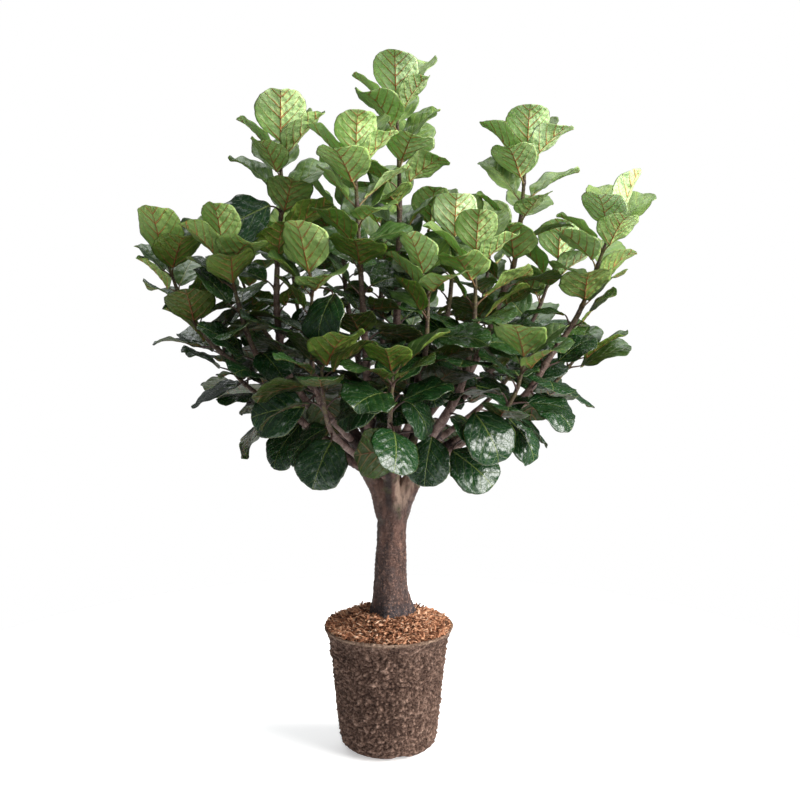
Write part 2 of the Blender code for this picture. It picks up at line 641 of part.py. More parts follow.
def add_leaf(shape, corners, leaf):
    """Grow a leaf on from four corner points, given counter-clockwise from outside."""
    last = corners
    for section in leaf.blade_sections():
        fresh = [shape.verts.new(point) for point in section]
        for k in range(4):
            after = (k + 1) % 4
            shape.faces.new((last[k], last[after], fresh[after], fresh[k]))
        last = fresh
    shape.faces.new(last)


def make_shoot(name, leaves, group, material):
    """A shoot: a tapered stem whose leaves grow out of its side faces, two at a height."""
    limb, path = split_stem(name)
    total = sum((b - a).length for a, b in zip(path, path[1:]))
    stations = {}
    for leaf in leaves:
        stations.setdefault(round(leaf.fraction, 4), []).append(leaf)
    heights = [0.0]
    buds = {}
    for fraction in sorted(stations):
        half = BUD_HALF_HEIGHT / total
        heights += [fraction - half, min(fraction + half, 1.0)]
        buds[len(heights) - 2] = stations[fraction]
    shape = bmesh.new()
    rings = []
    for fraction in heights:
        point, direction = along_path(path, fraction)
        if fraction == 0.0:
            direction = (limb[-1] - limb[-2]).normalized()
            point = point + direction * GAP
        points = ring(point, direction, shoot_radius(name, fraction), SHOOT_SIDES)
        rings.append([shape.verts.new(p) for p in points])
    shape.faces.new(rings[0][::-1])
    for level in range(len(rings) - 1):
        low, high = rings[level:level + 2]
        faces = [[low[k], low[(k + 1) % SHOOT_SIDES], high[(k + 1) % SHOOT_SIDES], high[k]]
                 for k in range(SHOOT_SIDES)]
        for leaf in buds.get(level, []):
            nearest = min(faces, key=lambda face: face_miss(face, leaf))
            faces.remove(nearest)
            add_leaf(shape, nearest, leaf)
        for face in faces:
            shape.faces.new(face)
    shape.faces.new(rings[-1])
    mesh = bpy.data.meshes.new(name)
    shape.to_mesh(mesh)
    shape.free()
    return mesh_object("shoot_" + name, mesh, group, material)


def face_miss(face, leaf):
    """How far a side face's middle is from the leaf's stalk."""
    middle = sum((vert.co for vert in face), Vector()) / 4
    return (middle - leaf.start).length


def make_old_leaf(name, leaf, group, material):
    """One hanging leaf, with its long stalk starting at the limb's skin."""
    sections = [leaf.stalk_start()] + leaf.blade_sections()
    mesh = bpy.data.meshes.new(name)
    mesh.from_pydata([p for section in sections for p in section], [], loft_faces(sections))
    return mesh_object(name, mesh, group, material)


def main():
    clear_scene()
    group = new_collection("potted_aralia")
    cutters = new_collection("limb_cutters")
    make_pot(group)
    make_soil(group)
    make_mulch(group)
    make_trunk(group, cutters)
    crown = grow_crown()
    young = plain_material("young_foliage", (0.10, 0.17, 0.035), 0.45)
    old = plain_material("old_foliage", (0.020, 0.060, 0.018), 0.3)
    for name, leaves in crown.items():
        if name in STEMS:
            make_shoot(name, leaves, group, young)
        else:
            make_old_leaf(name, leaves[0], group, old)


main()
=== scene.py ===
"""The looks of the potted aralia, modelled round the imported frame.

Metres, +Z up, the tree's best side towards -Y. The crown grows by the same rules as the
CAD model's, so every blade, stalk and stem lies where its solid does. Angles are in
degrees, and an azimuth is a direction seen from above: 0 is +X and -90 is the front.
"""
import math
import random

import bpy
import numpy as np
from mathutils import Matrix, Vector, noise
from mathutils.bvhtree import BVHTree


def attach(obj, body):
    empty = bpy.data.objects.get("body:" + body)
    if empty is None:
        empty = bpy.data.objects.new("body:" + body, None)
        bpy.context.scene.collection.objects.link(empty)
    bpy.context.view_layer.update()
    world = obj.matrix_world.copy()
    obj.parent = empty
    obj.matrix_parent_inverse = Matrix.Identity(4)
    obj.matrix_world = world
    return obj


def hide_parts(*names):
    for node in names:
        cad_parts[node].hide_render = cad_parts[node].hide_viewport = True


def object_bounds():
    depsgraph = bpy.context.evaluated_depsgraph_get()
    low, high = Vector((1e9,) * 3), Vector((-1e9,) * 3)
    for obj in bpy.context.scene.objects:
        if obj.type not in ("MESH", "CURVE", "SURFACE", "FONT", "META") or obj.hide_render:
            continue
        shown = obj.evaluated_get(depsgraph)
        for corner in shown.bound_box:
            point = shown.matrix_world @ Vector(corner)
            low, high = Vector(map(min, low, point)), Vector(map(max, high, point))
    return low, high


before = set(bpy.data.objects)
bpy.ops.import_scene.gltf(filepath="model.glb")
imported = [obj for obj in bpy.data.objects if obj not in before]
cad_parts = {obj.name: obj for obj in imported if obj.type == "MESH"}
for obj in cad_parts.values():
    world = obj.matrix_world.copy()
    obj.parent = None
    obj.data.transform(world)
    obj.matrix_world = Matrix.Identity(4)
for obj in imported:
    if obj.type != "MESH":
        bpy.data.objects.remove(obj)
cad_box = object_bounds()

UP = Vector((0.0, 0.0, 1.0))

# The pot: moulded wood pulp with a thin lip that turns out.
POT_HEIGHT = 0.335
POT_LIP_RADIUS = 0.170
POT_TOP_RADIUS = 0.1565
POT_FOOT_RADIUS = 0.130
POT_FOOT_ROUNDING = 0.038
POT_SHOULDER = 0.290  # the height at which the wall starts to turn out
POT_WALL = 0.007
POT_FLOOR = 0.008

# What fills it.
SOIL_TOP = 0.285
MULCH_CROWN_TOP = 0.366
STUMP_DEPTH = 0.090  # how far the trunk's foot goes down into the soil

# The trunk, by height, radius and how far its middle leans to +X.
TRUNK_SHAPE = (
    (SOIL_TOP - STUMP_DEPTH, 0.046, 0.000),
    (SOIL_TOP, 0.060, 0.000),
    (0.340, 0.064, 0.006),
    (0.366, 0.062, 0.010),
    (0.386, 0.053, 0.009),
    (0.410, 0.047, 0.008),
    (0.450, 0.043, 0.005),
    (0.510, 0.0395, 0.006),
    (0.575, 0.0368, 0.008),
    (0.635, 0.0368, 0.009),
    (0.672, 0.042, 0.010),
    (0.700, 0.038, 0.010),
)

# The main limbs, from inside the trunk's fork: points, radius at the foot and at the end.
MAIN_LIMBS = {
    "left": (((0.000, 0.000, 0.630), (-0.022, -0.006, 0.700), (-0.068, -0.020, 0.780)), 0.034, 0.021),
    "right": (((0.018, 0.000, 0.630), (0.047, -0.008, 0.695), (0.090, -0.020, 0.770)), 0.033, 0.021),
    "front": (((0.009, -0.005, 0.645), (0.008, -0.034, 0.715), (0.010, -0.075, 0.775)), 0.024, 0.017),
    "back": (((0.009, 0.005, 0.645), (0.010, 0.040, 0.710), (0.012, 0.090, 0.775)), 0.026, 0.018),
    "middle": (((0.009, 0.000, 0.650), (0.012, 0.004, 0.725), (0.010, 0.006, 0.795)), 0.024, 0.017),
}

# The stems that branch from them. Each has its main limb and how far along that it starts,
# the points it passes through, its radius at the first of these, its number of leaves and
# the azimuth of its topmost leaf. The bare limb ends and the leafy shoot begins at the
# first point.
STEMS = {
    "tall_left": ("left", 0.7, ((-0.11, -0.06, 0.84), (-0.18, -0.09, 0.91), (-0.245, -0.1, 1.0),
        (-0.272, -0.1, 1.12), (-0.275, -0.1, 1.25), (-0.262, -0.1, 1.42),
        (-0.262, -0.1, 1.57)), 0.0125, 26, -84),
    "leader": ("middle", 0.8, ((0.01, 0.0, 0.84), (0.019, 0.0, 0.95), (0.022, 0.0, 1.19),
        (0.028, 0.0, 1.44), (0.02, 0.0, 1.68)), 0.0125, 30, -95),
    "tall_right": ("right", 0.7, ((0.12, 0.0, 0.84), (0.18, 0.0, 0.95), (0.25, 0.0, 1.09),
        (0.283, 0.0, 1.187), (0.32, 0.0, 1.29), (0.335, 0.0, 1.42), (0.344, 0.0, 1.555)), 0.0125, 25, -88),
    "far_left": ("left", 0.9, ((-0.135, -0.005, 0.84), (-0.25, 0.0, 0.935), (-0.39, 0.0, 1.02),
        (-0.485, 0.0, 1.118), (-0.53, 0.0, 1.2), (-0.56, 0.0, 1.285)), 0.012, 19, -115),
    "far_right": ("right", 0.9, ((0.155, -0.04, 0.82), (0.258, -0.05, 0.886), (0.346, -0.05, 0.951),
        (0.41, -0.05, 1.053), (0.475, -0.05, 1.154), (0.522, -0.05, 1.279),
        (0.558, -0.05, 1.385)), 0.012, 21, -30),
    "centre_left": ("front", 0.6, ((-0.045, -0.1, 0.83), (-0.05, -0.16, 0.95), (-0.056, -0.2, 1.1),
        (-0.068, -0.2, 1.3), (-0.08, -0.2, 1.54)), 0.0115, 25, -80),
    "front_right": ("front", 0.9, ((0.085, -0.12, 0.83), (0.13, -0.16, 0.9), (0.172, -0.19, 0.98),
        (0.2, -0.2, 1.1), (0.208, -0.2, 1.2), (0.206, -0.2, 1.31)), 0.0115, 17, -84),
    "left": ("left", 0.8, ((-0.14, -0.085, 0.82), (-0.25, -0.14, 0.94), (-0.33, -0.15, 1.08),
        (-0.37, -0.15, 1.21), (-0.392, -0.15, 1.32)), 0.011, 16, -70),
    "centre_right": ("middle", 0.6, ((0.07, -0.045, 0.85), (0.115, -0.075, 1.0), (0.15, -0.09, 1.18),
        (0.16, -0.09, 1.34)), 0.011, 16, -100),
    "front_left_high": ("left", 0.5, ((-0.08, -0.11, 0.83), (-0.165, -0.185, 0.95), (-0.185, -0.225, 1.08),
        (-0.18, -0.235, 1.26)), 0.01, 13, -80),
    "front_left_low": ("front", 0.7, ((-0.07, -0.15, 0.81), (-0.13, -0.245, 0.88), (-0.15, -0.31, 0.96),
        (-0.155, -0.335, 1.06)), 0.01, 9, -60),
    "front_centre": ("front", 0.9, ((0.005, -0.15, 0.815), (0.002, -0.25, 0.88), (0.005, -0.325, 0.96),
        (0.01, -0.35, 1.05)), 0.01, 9, -100),
    "front_mid": ("front", 0.5, ((0.04, -0.1, 0.85), (0.075, -0.185, 0.98), (0.09, -0.23, 1.1),
        (0.095, -0.24, 1.26)), 0.01, 13, -75),
    "front_right_low": ("right", 0.8, ((0.135, -0.11, 0.805), (0.225, -0.19, 0.885), (0.295, -0.245, 0.97),
        (0.325, -0.265, 1.07)), 0.01, 10, -110),
    "left_low": ("left", 0.95, ((-0.14, 0.045, 0.805), (-0.27, 0.07, 0.885), (-0.39, 0.09, 0.97),
        (-0.455, 0.1, 1.07)), 0.01, 10, -120),
    "left_back": ("left", 0.6, ((-0.1, 0.075, 0.85), (-0.23, 0.14, 0.97), (-0.34, 0.19, 1.1),
        (-0.4, 0.21, 1.24)), 0.01, 11, -100),
    "right_low": ("right", 0.95, ((0.165, 0.02, 0.805), (0.29, 0.05, 0.875), (0.41, 0.06, 0.945),
        (0.49, 0.07, 1.03)), 0.01, 10, -70),
    "right_back": ("right", 0.6, ((0.13, 0.08, 0.85), (0.255, 0.13, 0.97), (0.375, 0.17, 1.1),
        (0.445, 0.18, 1.27)), 0.01, 13, -85),
    "inner_left": ("middle", 0.7, ((-0.035, 0.06, 0.85), (-0.08, 0.12, 1.02), (-0.115, 0.15, 1.22),
        (-0.12, 0.15, 1.45)), 0.0105, 14, -105),
    "inner_right": ("middle", 0.5, ((0.055, 0.06, 0.85), (0.085, 0.13, 1.02), (0.105, 0.16, 1.2),
        (0.105, 0.16, 1.36)), 0.0105, 12, -75),
    "back_left_high": ("back", 0.6, ((-0.07, 0.135, 0.84), (-0.165, 0.23, 0.955), (-0.24, 0.29, 1.1),
        (-0.27, 0.31, 1.28)), 0.0105, 12, 80),
    "back_left_low": ("back", 0.9, ((-0.09, 0.175, 0.795), (-0.205, 0.29, 0.865), (-0.3, 0.38, 0.95),
        (-0.34, 0.41, 1.05)), 0.01, 9, 110),
    "back_centre_high": ("back", 0.5, ((0.0, 0.14, 0.85), (-0.01, 0.24, 0.98), (-0.02, 0.31, 1.15),
        (-0.02, 0.335, 1.36)), 0.0105, 13, 95),
    "back_centre_low": ("back", 0.95, ((0.02, 0.2, 0.8), (0.045, 0.33, 0.87), (0.06, 0.43, 0.96),
        (0.06, 0.46, 1.06)), 0.01, 9, 70),
    "back_right_high": ("back", 0.65, ((0.085, 0.13, 0.84), (0.185, 0.22, 0.96), (0.25, 0.28, 1.12),
        (0.28, 0.3, 1.3)), 0.0105, 12, 100),
    "back_right_low": ("back", 0.85, ((0.12, 0.16, 0.79), (0.25, 0.265, 0.865), (0.345, 0.355, 0.95),
        (0.385, 0.385, 1.05)), 0.01, 9, 60),
}
LIMB_FOOT_RADIUS = 0.0155
SHOOT_TIP_RADIUS = 0.0035
PATH_STEPS = 6  # samples between two of a stem's points
LEAFY_FROM = 0.92  # the height at which the shoots' leaves begin
TOP_LEAF_AT = 0.995  # of the shoot's length
CROWDING = 1.25  # more than 1 sets the leaves closer together towards the tip
LIMB_SIDES = 6

# The old leaves that hang on long stalks: the place of the blade's foot, the azimuth and
# rise of its midrib, the roll about the midrib and the blade's length. Each stalk starts
# at the nearest stem that it can reach freely.
OLD_LEAVES = {
    "leaf_front_dark": ((0.037, -0.260, 0.850), 182, 3, -80, 0.130),
    "leaf_front_folded": ((0.104, -0.270, 0.880), -115, -50, 0, 0.120),
    "leaf_front_right_lower": ((0.155, -0.260, 0.845), -31, -23, -35, 0.130),
    "leaf_front_right_upper": ((0.205, -0.285, 0.945), -45, -40, -20, 0.138),
    "leaf_front_left_glossy": ((-0.135, -0.260, 0.878), -121, -40, 15, 0.130),
    "leaf_front_left_dark": ((-0.150, -0.200, 0.896), 185, -26, 20, 0.135),
    "leaf_front_left_grey": ((-0.222, -0.100, 0.880), -148, -34, 10, 0.130),
    "leaf_left_folded": ((-0.292, -0.100, 0.910), 180, -35, -10, 0.140),
    "leaf_left_glossy": ((-0.206, -0.205, 0.950), 182, -5, 60, 0.140),
    "leaf_left_round": ((-0.130, -0.270, 1.225), -135, -47, 0, 0.130),
    "leaf_left_blue": ((-0.290, -0.140, 1.425), -160, -18, 50, 0.145),
    "leaf_centre_long": ((-0.005, -0.270, 1.000), 185, -20, 30, 0.150),
    "leaf_centre_arched": ((0.035, -0.250, 0.985), -20, -38, -10, 0.125),
    "leaf_right_hanging": ((0.295, -0.150, 0.910), -15, -41, -25, 0.135),
    "leaf_right_grey": ((0.366, -0.070, 0.950), -15, -22, -20, 0.130),
    "leaf_right_back": ((0.235, 0.150, 0.850), 25, -40, 0, 0.130),
    "leaf_back_right": ((0.130, 0.235, 0.840), 60, -45, 0, 0.130),
    "leaf_back_centre": ((-0.015, 0.260, 0.840), 105, -50, 0, 0.130),
    "leaf_back_left": ((-0.140, 0.240, 0.840), 130, -40, 0, 0.130),
    "leaf_left_back": ((-0.215, 0.130, 0.860), 160, -35, 0, 0.130),
    "leaf_under_left": ((-0.125, 0.110, 0.800), 150, -50, 0, 0.115),
    "leaf_under_right": ((0.150, 0.090, 0.800), 20, -50, 0, 0.115),
}

# A leaf: an almost round blade on a short stalk.
GOLDEN_ANGLE = 137.5  # from one leaf to the next round the stem
LEAF_LENGTH = 0.134
LEAF_WIDTH = 0.98  # of its length
AGE_AT_TIP = 0.05  # from 0, a leaf that has just opened, to 1
AGE_DOWN_SHOOT = 0.62  # more at a shoot's lowest leaf
OLD_BELOW = 1.20  # the height below which leaves are older still
AGE_PER_METRE = 1.1
STALK_LENGTH = 0.018  # of the youngest leaves
STALK_LENGTH_GAIN = 0.022  # more for the oldest
BEND = 12  # of the blade from foot to tip, in degrees
BEND_GAIN = 26
CUP = 16  # how far the blade's sides rise, in degrees
CUP_LOST = 20
TOP_RISE = 76  # of the topmost leaf
TOP_RISE_LOST = 210  # for each metre that it is below the next height
TOP_RISE_FROM = 1.20
YOUNG_RISE = 56  # of the leaves below it, before they sink with age
RISE_LOST = 50
RISE_WOBBLE = 8
RISE_WOBBLE_GAIN = 26  # more for a shoot's lowest leaves
ROLL_WOBBLE = 24
LEAF_HALF_THICKNESS = 0.0010
STALK_HALF_THICKNESS = 0.0018
BLADE_STATIONS = (0.0, 0.28, 0.66, 1.0)
CLEARANCE = 0.0012
STEM_CLEARANCE = 0.0025
# Turns, tilts and sizes that are tried until a leaf is clear of what grew before it.
TURNS = (0, 14, -14, 28, -28, 42, -42, 56, -56)
TILTS = (0, 10, -10, 20, -20)
SIZES = (1.0, 0.88, 0.76)
MOST_TRIES = 40
FOOT_NUDGES = ((0.0, 0.0, 0.0), (0.0, -0.02, 0.0), (0.0, 0.0, 0.02), (0.0, 0.0, -0.02), (0.02, 0.0, 0.0),
               (-0.02, 0.0, 0.0), (0.0, -0.04, 0.0), (0.0, 0.0, 0.04), (0.0, 0.0, -0.04), (0.04, 0.0, 0.0),
               (-0.04, 0.0, 0.0), (0.0, 0.03, 0.0))
STALK_PLACES = tuple(k / 20 for k in range(1, 20))  # where on its stem an old leaf may start
STALK_SPACE = 0.0045  # between an old leaf's stalk and the middle of the stem's flat side


# Paths and tubes.

def smooth_path(points, steps):
    """Samples of the smooth curve through the points, with the points among them."""
    ends = [2 * Vector(points[0]) - Vector(points[1]), 2 * Vector(points[-1]) - Vector(points[-2])]
    knots = ends[:1] + [Vector(p) for p in points] + ends[1:]
    path = []
    for i in range(1, len(knots) - 2):
        a, b, c, d = knots[i - 1:i + 3]
        for k in range(steps):
            t = k / steps
            linear = (c - a) * t
            square = (2 * a - 5 * b + 4 * c - d) * t ** 2
            cube = (3 * b - a - 3 * c + d) * t ** 3
            path.append(0.5 * (2 * b + linear + square + cube))
    path.append(knots[-2])
    return path


def along_path(path, fraction):
    """The point and direction at a fraction of a path's length."""
    lengths = [(b - a).length for a, b in zip(path, path[1:])]
    left = fraction * sum(lengths)
    for i, length in enumerate(lengths):
        if left <= length or i == len(lengths) - 1:
            direction = (path[i + 1] - path[i]).normalized()
            return path[i] + direction * min(left, length), direction
        left -= length


def circle(radius, sides):
    """The corners of a level ring round the middle, as pairs of x and y."""
    angles = [2 * math.pi * k / sides for k in range(sides)]
    return [(radius * math.cos(a), radius * math.sin(a)) for a in angles]


def ring(centre, direction, radius, sides):
    """A ring of points round a direction, counter-clockwise as seen from its far end."""
    across = direction.cross(Vector((0.0, 1.0, 0.0))).normalized()
    beyond = direction.cross(across)
    angles = [2 * math.pi * k / sides for k in range(sides)]
    return [centre + radius * (across * math.cos(a) + beyond * math.sin(a)) for a in angles]


def quads(number):
    """The quads of a grid of point numbers."""
    corners = (number[:-1, :-1], number[:-1, 1:], number[1:, 1:], number[1:, :-1])
    return np.stack(corners, axis=-1).reshape(-1, 4).tolist()


def band_faces(number):
    """Quads between rings of point numbers, each ring joined end to start."""
    return quads(np.column_stack([number, number[:, 0]]))


def tube_faces(count, sides):
    """The faces of a closed tube of rings."""
    number = np.arange(count * sides).reshape(count, sides)
    return band_faces(number) + [number[0, ::-1].tolist(), number[-1].tolist()]


def tree_of(sections):
    """The sections' closed surface, ready for overlap tests."""
    points = [p for section in sections for p in section]
    return BVHTree.FromPolygons(points, tube_faces(len(sections), len(sections[0])))


# One leaf.

class Leaf:
    """A blade on its stalk: where the stalk starts, where the blade does, and its shape."""

    def __init__(self, start, foot, azimuth, rise, roll, length, age, fraction=0.0,
                 root=STALK_HALF_THICKNESS):
        self.fraction = fraction  # how far up its shoot it grows
        self.root = root  # half the stalk's thickness where it starts
        self.start = start
        self.foot = foot
        self.length = length
        self.age = age  # 0 is the youngest, 1 the oldest
        self.bend = math.radians(BEND + BEND_GAIN * age)
        self.cup = math.radians(CUP - CUP_LOST * age)
        a = math.radians(azimuth)
        r = math.radians(rise)
        heading = Vector((math.cos(a), math.sin(a), 0.0))
        self.along = heading * math.cos(r) + UP * math.sin(r)
        level = UP * math.cos(r) - heading * math.sin(r)
        side = self.along.cross(level)
        turn = math.radians(roll)
        self.side = side * math.cos(turn) + level * math.sin(turn)
        self.upper = level * math.cos(turn) - side * math.sin(turn)

    def midrib(self, t):
        """The midrib's point and upward direction at a fraction of the blade's length."""
        angle = self.bend * t
        reach = self.length * math.sin(angle) / self.bend
        drop = self.length * (1 - math.cos(angle)) / self.bend
        point = self.foot + self.along * reach - self.upper * drop
        return point, self.upper * math.cos(angle) + self.along * math.sin(angle)

    def half_width(self, t):
        """Half the blade's width: nearly round, widest past the middle, blunt at both ends."""
        u = 2 * t ** 1.12 - 1
        full = max(0.0, 1 - abs(u) ** 2.4) ** 0.5
        blunt = 0.05 if t < 0.5 else 0.22
        return 0.5 * LEAF_WIDTH * self.length * max(full, blunt)

    def blade_sections(self, swell=0.0):
        """Lozenge sections of the blade: side, under, side, over. The first is mitred."""
        sections = []
        for t in BLADE_STATIONS:
            centre, upper = self.midrib(t)
            side = self.side
            if t == 0.0:
                turn = ((self.foot - self.start).normalized() + self.along).normalized()
                side = (side - turn * side.dot(turn)).normalized()
                upper = side.cross(turn)
            half = self.half_width(t) + swell
            out = side * half * math.cos(self.cup)
            lift = upper * half * math.sin(self.cup)
            thick = upper * (LEAF_HALF_THICKNESS + swell)
            sections.append([centre + out + lift, centre - thick, centre - out + lift, centre + thick])
        return sections

    def stalk_start(self, swell=0.0):
        """The stalk's first section, square to its own direction."""
        direction = (self.foot - self.start).normalized()
        side = (self.side - direction * self.side.dot(direction)).normalized()
        over = side.cross(direction)
        size = self.root + swell
        return [self.start + side * size, self.start - over * size,
                self.start - side * size, self.start + over * size]

    def centre(self):
        return self.midrib(0.5)[0]

    def reach(self):
        """The furthest that any point of the leaf is from its centre."""
        return 0.72 * self.length + (self.foot - self.start).length


def grown_leaf(point, direction, radius, azimuth, rise, roll, length, age, fraction):
    """A leaf on a stem: its stalk leaves the stem squarely and the blade has its own slant."""
    a = math.radians(azimuth)
    heading = Vector((math.cos(a), math.sin(a), 0.0))
    out = (heading - direction * heading.dot(direction)).normalized()
    stalk = (out + 0.5 * direction + (0.2 + 0.006 * rise) * UP).normalized()
    reach = STALK_LENGTH + STALK_LENGTH_GAIN * age
    start = point + out * (radius + 0.0015)
    foot = point + out * radius + stalk * reach
    root = max(0.75 * radius, 0.0045)
    return Leaf(start, foot, azimuth, rise, roll, length, age, fraction, root)


# The crown.

def split_stem(name):
    """A stem's bare limb and its leafy shoot, as paths that meet at the limb's end."""
    path = stem_path(name)
    return limb_path(path[:PATH_STEPS + 1]), path[PATH_STEPS:]


def stem_path(name):
    """A stem's path, from where it starts on its main limb to its tip."""
    limb, share, points = STEMS[name][:3]
    start = along_path(smooth_path(MAIN_LIMBS[limb][0], PATH_STEPS), share)[0]
    return smooth_path((start,) + points, PATH_STEPS)


def limb_path(path):
    """A limb's path with fewer points, and a last one that squares up its end."""
    return path[:-1:3] + [path[-1] + (path[-2] - path[-1]).normalized() * 0.004, path[-1]]


def shoot_radius(name, fraction):
    """A leafy shoot's radius at a fraction of its length."""
    thick = STEMS[name][3]
    return thick + (SHOOT_TIP_RADIUS - thick) * fraction


def tube_tree(path, thick, thin):
    """A tapered tube along a path, made thicker by the clearance, for overlap tests."""
    sections = []
    for i, point in enumerate(path):
        before = path[max(i - 1, 0)]
        after = path[min(i + 1, len(path) - 1)]
        radius = thick + (thin - thick) * i / (len(path) - 1) + STEM_CLEARANCE
        sections.append(ring(point, (after - before).normalized(), radius, LIMB_SIDES))
    return tree_of(sections)


def leafy_start(name):
    """The fraction of a shoot's length below which it has no leaves."""
    path = split_stem(name)[1]
    fractions = [i / 40 for i in range(41)]
    return next(f for f in fractions if along_path(path, f)[0].z > LEAFY_FROM)


def wanted_leaf(name, index, turn=0.0, tilt=0.0, size=1.0):
    """The shoot's leaf of that index, counted from the tip, before or after a nudge."""
    count, top_azimuth = STEMS[name][4:6]
    path = split_stem(name)[1]
    pair = index // 2
    pairs = (count + 1) // 2
    low = leafy_start(name)
    share = pair / max(1, pairs - 1)
    fraction = TOP_LEAF_AT - (TOP_LEAF_AT - low) * share ** CROWDING
    point, direction = along_path(path, fraction)
    age = min(1.0, AGE_AT_TIP + AGE_DOWN_SHOOT * share + max(0.0, OLD_BELOW - point.z) * AGE_PER_METRE)
    below_tip = min(1.0, 3 * share)
    wobble = (RISE_WOBBLE + RISE_WOBBLE_GAIN * share) * math.sin(2.3 * index + len(name)) * below_tip
    roll = ROLL_WOBBLE * math.sin(1.9 * index + 2 * len(name)) * below_tip
    rise = YOUNG_RISE - RISE_LOST * age + wobble + tilt
    if index == 0:
        rise = TOP_RISE - TOP_RISE_LOST * max(0.0, TOP_RISE_FROM - point.z) + tilt
    azimuth = top_azimuth + GOLDEN_ANGLE * index + turn
    length = LEAF_LENGTH * size * (0.94 + 0.12 * math.sin(1.7 * index + len(name)))
    radius = shoot_radius(name, fraction)
    return grown_leaf(point, direction, radius, azimuth, rise, roll, length, age, fraction)


def leaf_tree(leaf):
    """A leaf made thicker by the clearance, for overlap tests."""
    return tree_of([leaf.stalk_start(CLEARANCE)] + leaf.blade_sections(CLEARANCE))


def is_clear(leaf, own_stem, other_stems, leaves):
    """Whether a leaf keeps its distance from the stems and from the leaves before it."""
    blade = leaf.blade_sections()
    start = leaf.stalk_start()
    middle = [(a + b) / 2 for a, b in zip(start, blade[0])]
    if own_stem and tree_of([middle] + blade).overlap(own_stem):
        return False
    bare = tree_of([start] + blade)
    if any(bare.overlap(stem) for stem in other_stems):
        return False
    tree = leaf_tree(leaf)
    for other, other_tree in leaves:
        near = (leaf.centre() - other.centre()).length < leaf.reach() + other.reach()
        if near and tree.overlap(other_tree):
            return False
    return True


def grow_crown():
    """Every leaf of the plant, by the name of the piece it belongs to."""
    limbs = {}
    tubes = {}
    for name, (points, thick, thin) in MAIN_LIMBS.items():
        limbs["main_" + name] = tube_tree(limb_path(smooth_path(points, PATH_STEPS)), thick, thin)
    for name in STEMS:
        limb, shoot = split_stem(name)
        thick = STEMS[name][3]
        limbs[name] = tube_tree(limb, LIMB_FOOT_RADIUS, thick)
        tubes[name] = tube_tree(shoot, thick, SHOOT_TIP_RADIUS)
    grown = []
    crown = {}
    everything = list(limbs.values()) + list(tubes.values())
    for name in OLD_LEAVES:
        for leaf in old_leaf_choices(name):
            if is_clear(leaf, None, everything, grown):
                crown[name] = [leaf]
                grown.append((leaf, leaf_tree(leaf)))
                break
    for name in STEMS:
        others = [tube for key, tube in tubes.items() if key != name] + list(limbs.values())
        crown[name] = []
        for index in range(STEMS[name][4]):
            nudges = ((tilt, turn, size) for size in SIZES for tilt in TILTS for turn in TURNS)
            for tilt, turn, size in nudges:
                leaf = wanted_leaf(name, index, turn, tilt, size)
                if is_clear(leaf, tubes[name], others, grown):
                    crown[name].append(leaf)
                    grown.append((leaf, leaf_tree(leaf)))
                    break
    return crown


def old_leaf_choices(name):
    """A hanging leaf with its stalk on each of the stems, the shortest stalk first."""
    place, azimuth, rise, roll, length = OLD_LEAVES[name]
    for nudge in FOOT_NUDGES:
        foot = Vector(place) + Vector(nudge)
        choices = []
        for stem in STEMS:
            for path, radius_at in zip(split_stem(stem), (limb_radius, shoot_radius)):
                for share in STALK_PLACES:
                    point = along_path(path, share)[0]
                    start = point + (foot - point).normalized() * (radius_at(stem, share) + STALK_SPACE)
                    choices.append(Leaf(start, foot, azimuth, rise, roll, length, 1.0))
        choices.sort(key=lambda leaf: (leaf.start - leaf.foot).length)
        yield from choices[:MOST_TRIES]


def limb_radius(name, fraction):
    """A bare limb's radius at a fraction of its length."""
    thin = STEMS[name][3]
    return LIMB_FOOT_RADIUS + (thin - LIMB_FOOT_RADIUS) * fraction


# Meshes from arrays.

class Body:
    """Vertices, faces, material numbers and the two leaf attributes of one piece."""

    def __init__(self):
        self.points = []
        self.faces = []
        self.kinds = []
        self.place = []
        self.growth = []
        self.count = 0

    def add(self, points, faces, kinds=0, place=(0, 0, 0), growth=(0, 0, 0)):
        """More points and faces, with one material number for all faces or one for each."""
        points = np.asarray(points, dtype=float).reshape(-1, 3)
        self.points.append(points)
        self.faces += [[i + self.count for i in face] for face in faces]
        self.kinds += np.broadcast_to(kinds, len(faces)).tolist()
        self.place.append(np.broadcast_to(np.asarray(place, dtype=float), points.shape))
        self.growth.append(np.broadcast_to(np.asarray(growth, dtype=float), points.shape))
        self.count += len(points)

    def add_tube(self, path, radii, sides, kind=0, places=((0, 0, 0),), growth=(0, 0, 0)):
        """A closed tube, with one place for each of its rings or one for all of them."""
        places = np.repeat(np.broadcast_to(places, (len(path), 3)), sides, axis=0)
        self.add(tube_points(path, radii, sides), tube_faces(len(path), sides), kind, places, growth)

    def mesh(self, name):
        """What has been added so far, as a mesh without materials."""
        mesh = bpy.data.meshes.new(name)
        mesh.from_pydata(np.concatenate(self.points).tolist(), [], self.faces)
        return mesh

    def finish(self, name, materials, slot, replaced=()):
        """The piece, with its materials and the leaf attributes that they read."""
        mesh = self.mesh(name)
        for material in materials:
            mesh.materials.append(material)
        mesh.polygons.foreach_set("material_index", self.kinds)
        for key, values in (("blade", self.place), ("growth", self.growth)):
            layer = mesh.attributes.new(key, "FLOAT_VECTOR", "POINT")
            layer.data.foreach_set("vector", np.concatenate(values).ravel())
        mesh.shade_smooth()
        mesh.update()
        return place_piece(name, mesh, replaced)


def place_piece(name, mesh, replaced=()):
    """A piece on the plant's one body, shown instead of the CAD nodes that it replaces."""
    piece = bpy.data.objects.new(name, mesh)
    bpy.context.scene.collection.objects.link(piece)
    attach(piece, "root")
    if replaced:
        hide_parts(*replaced)
    return piece


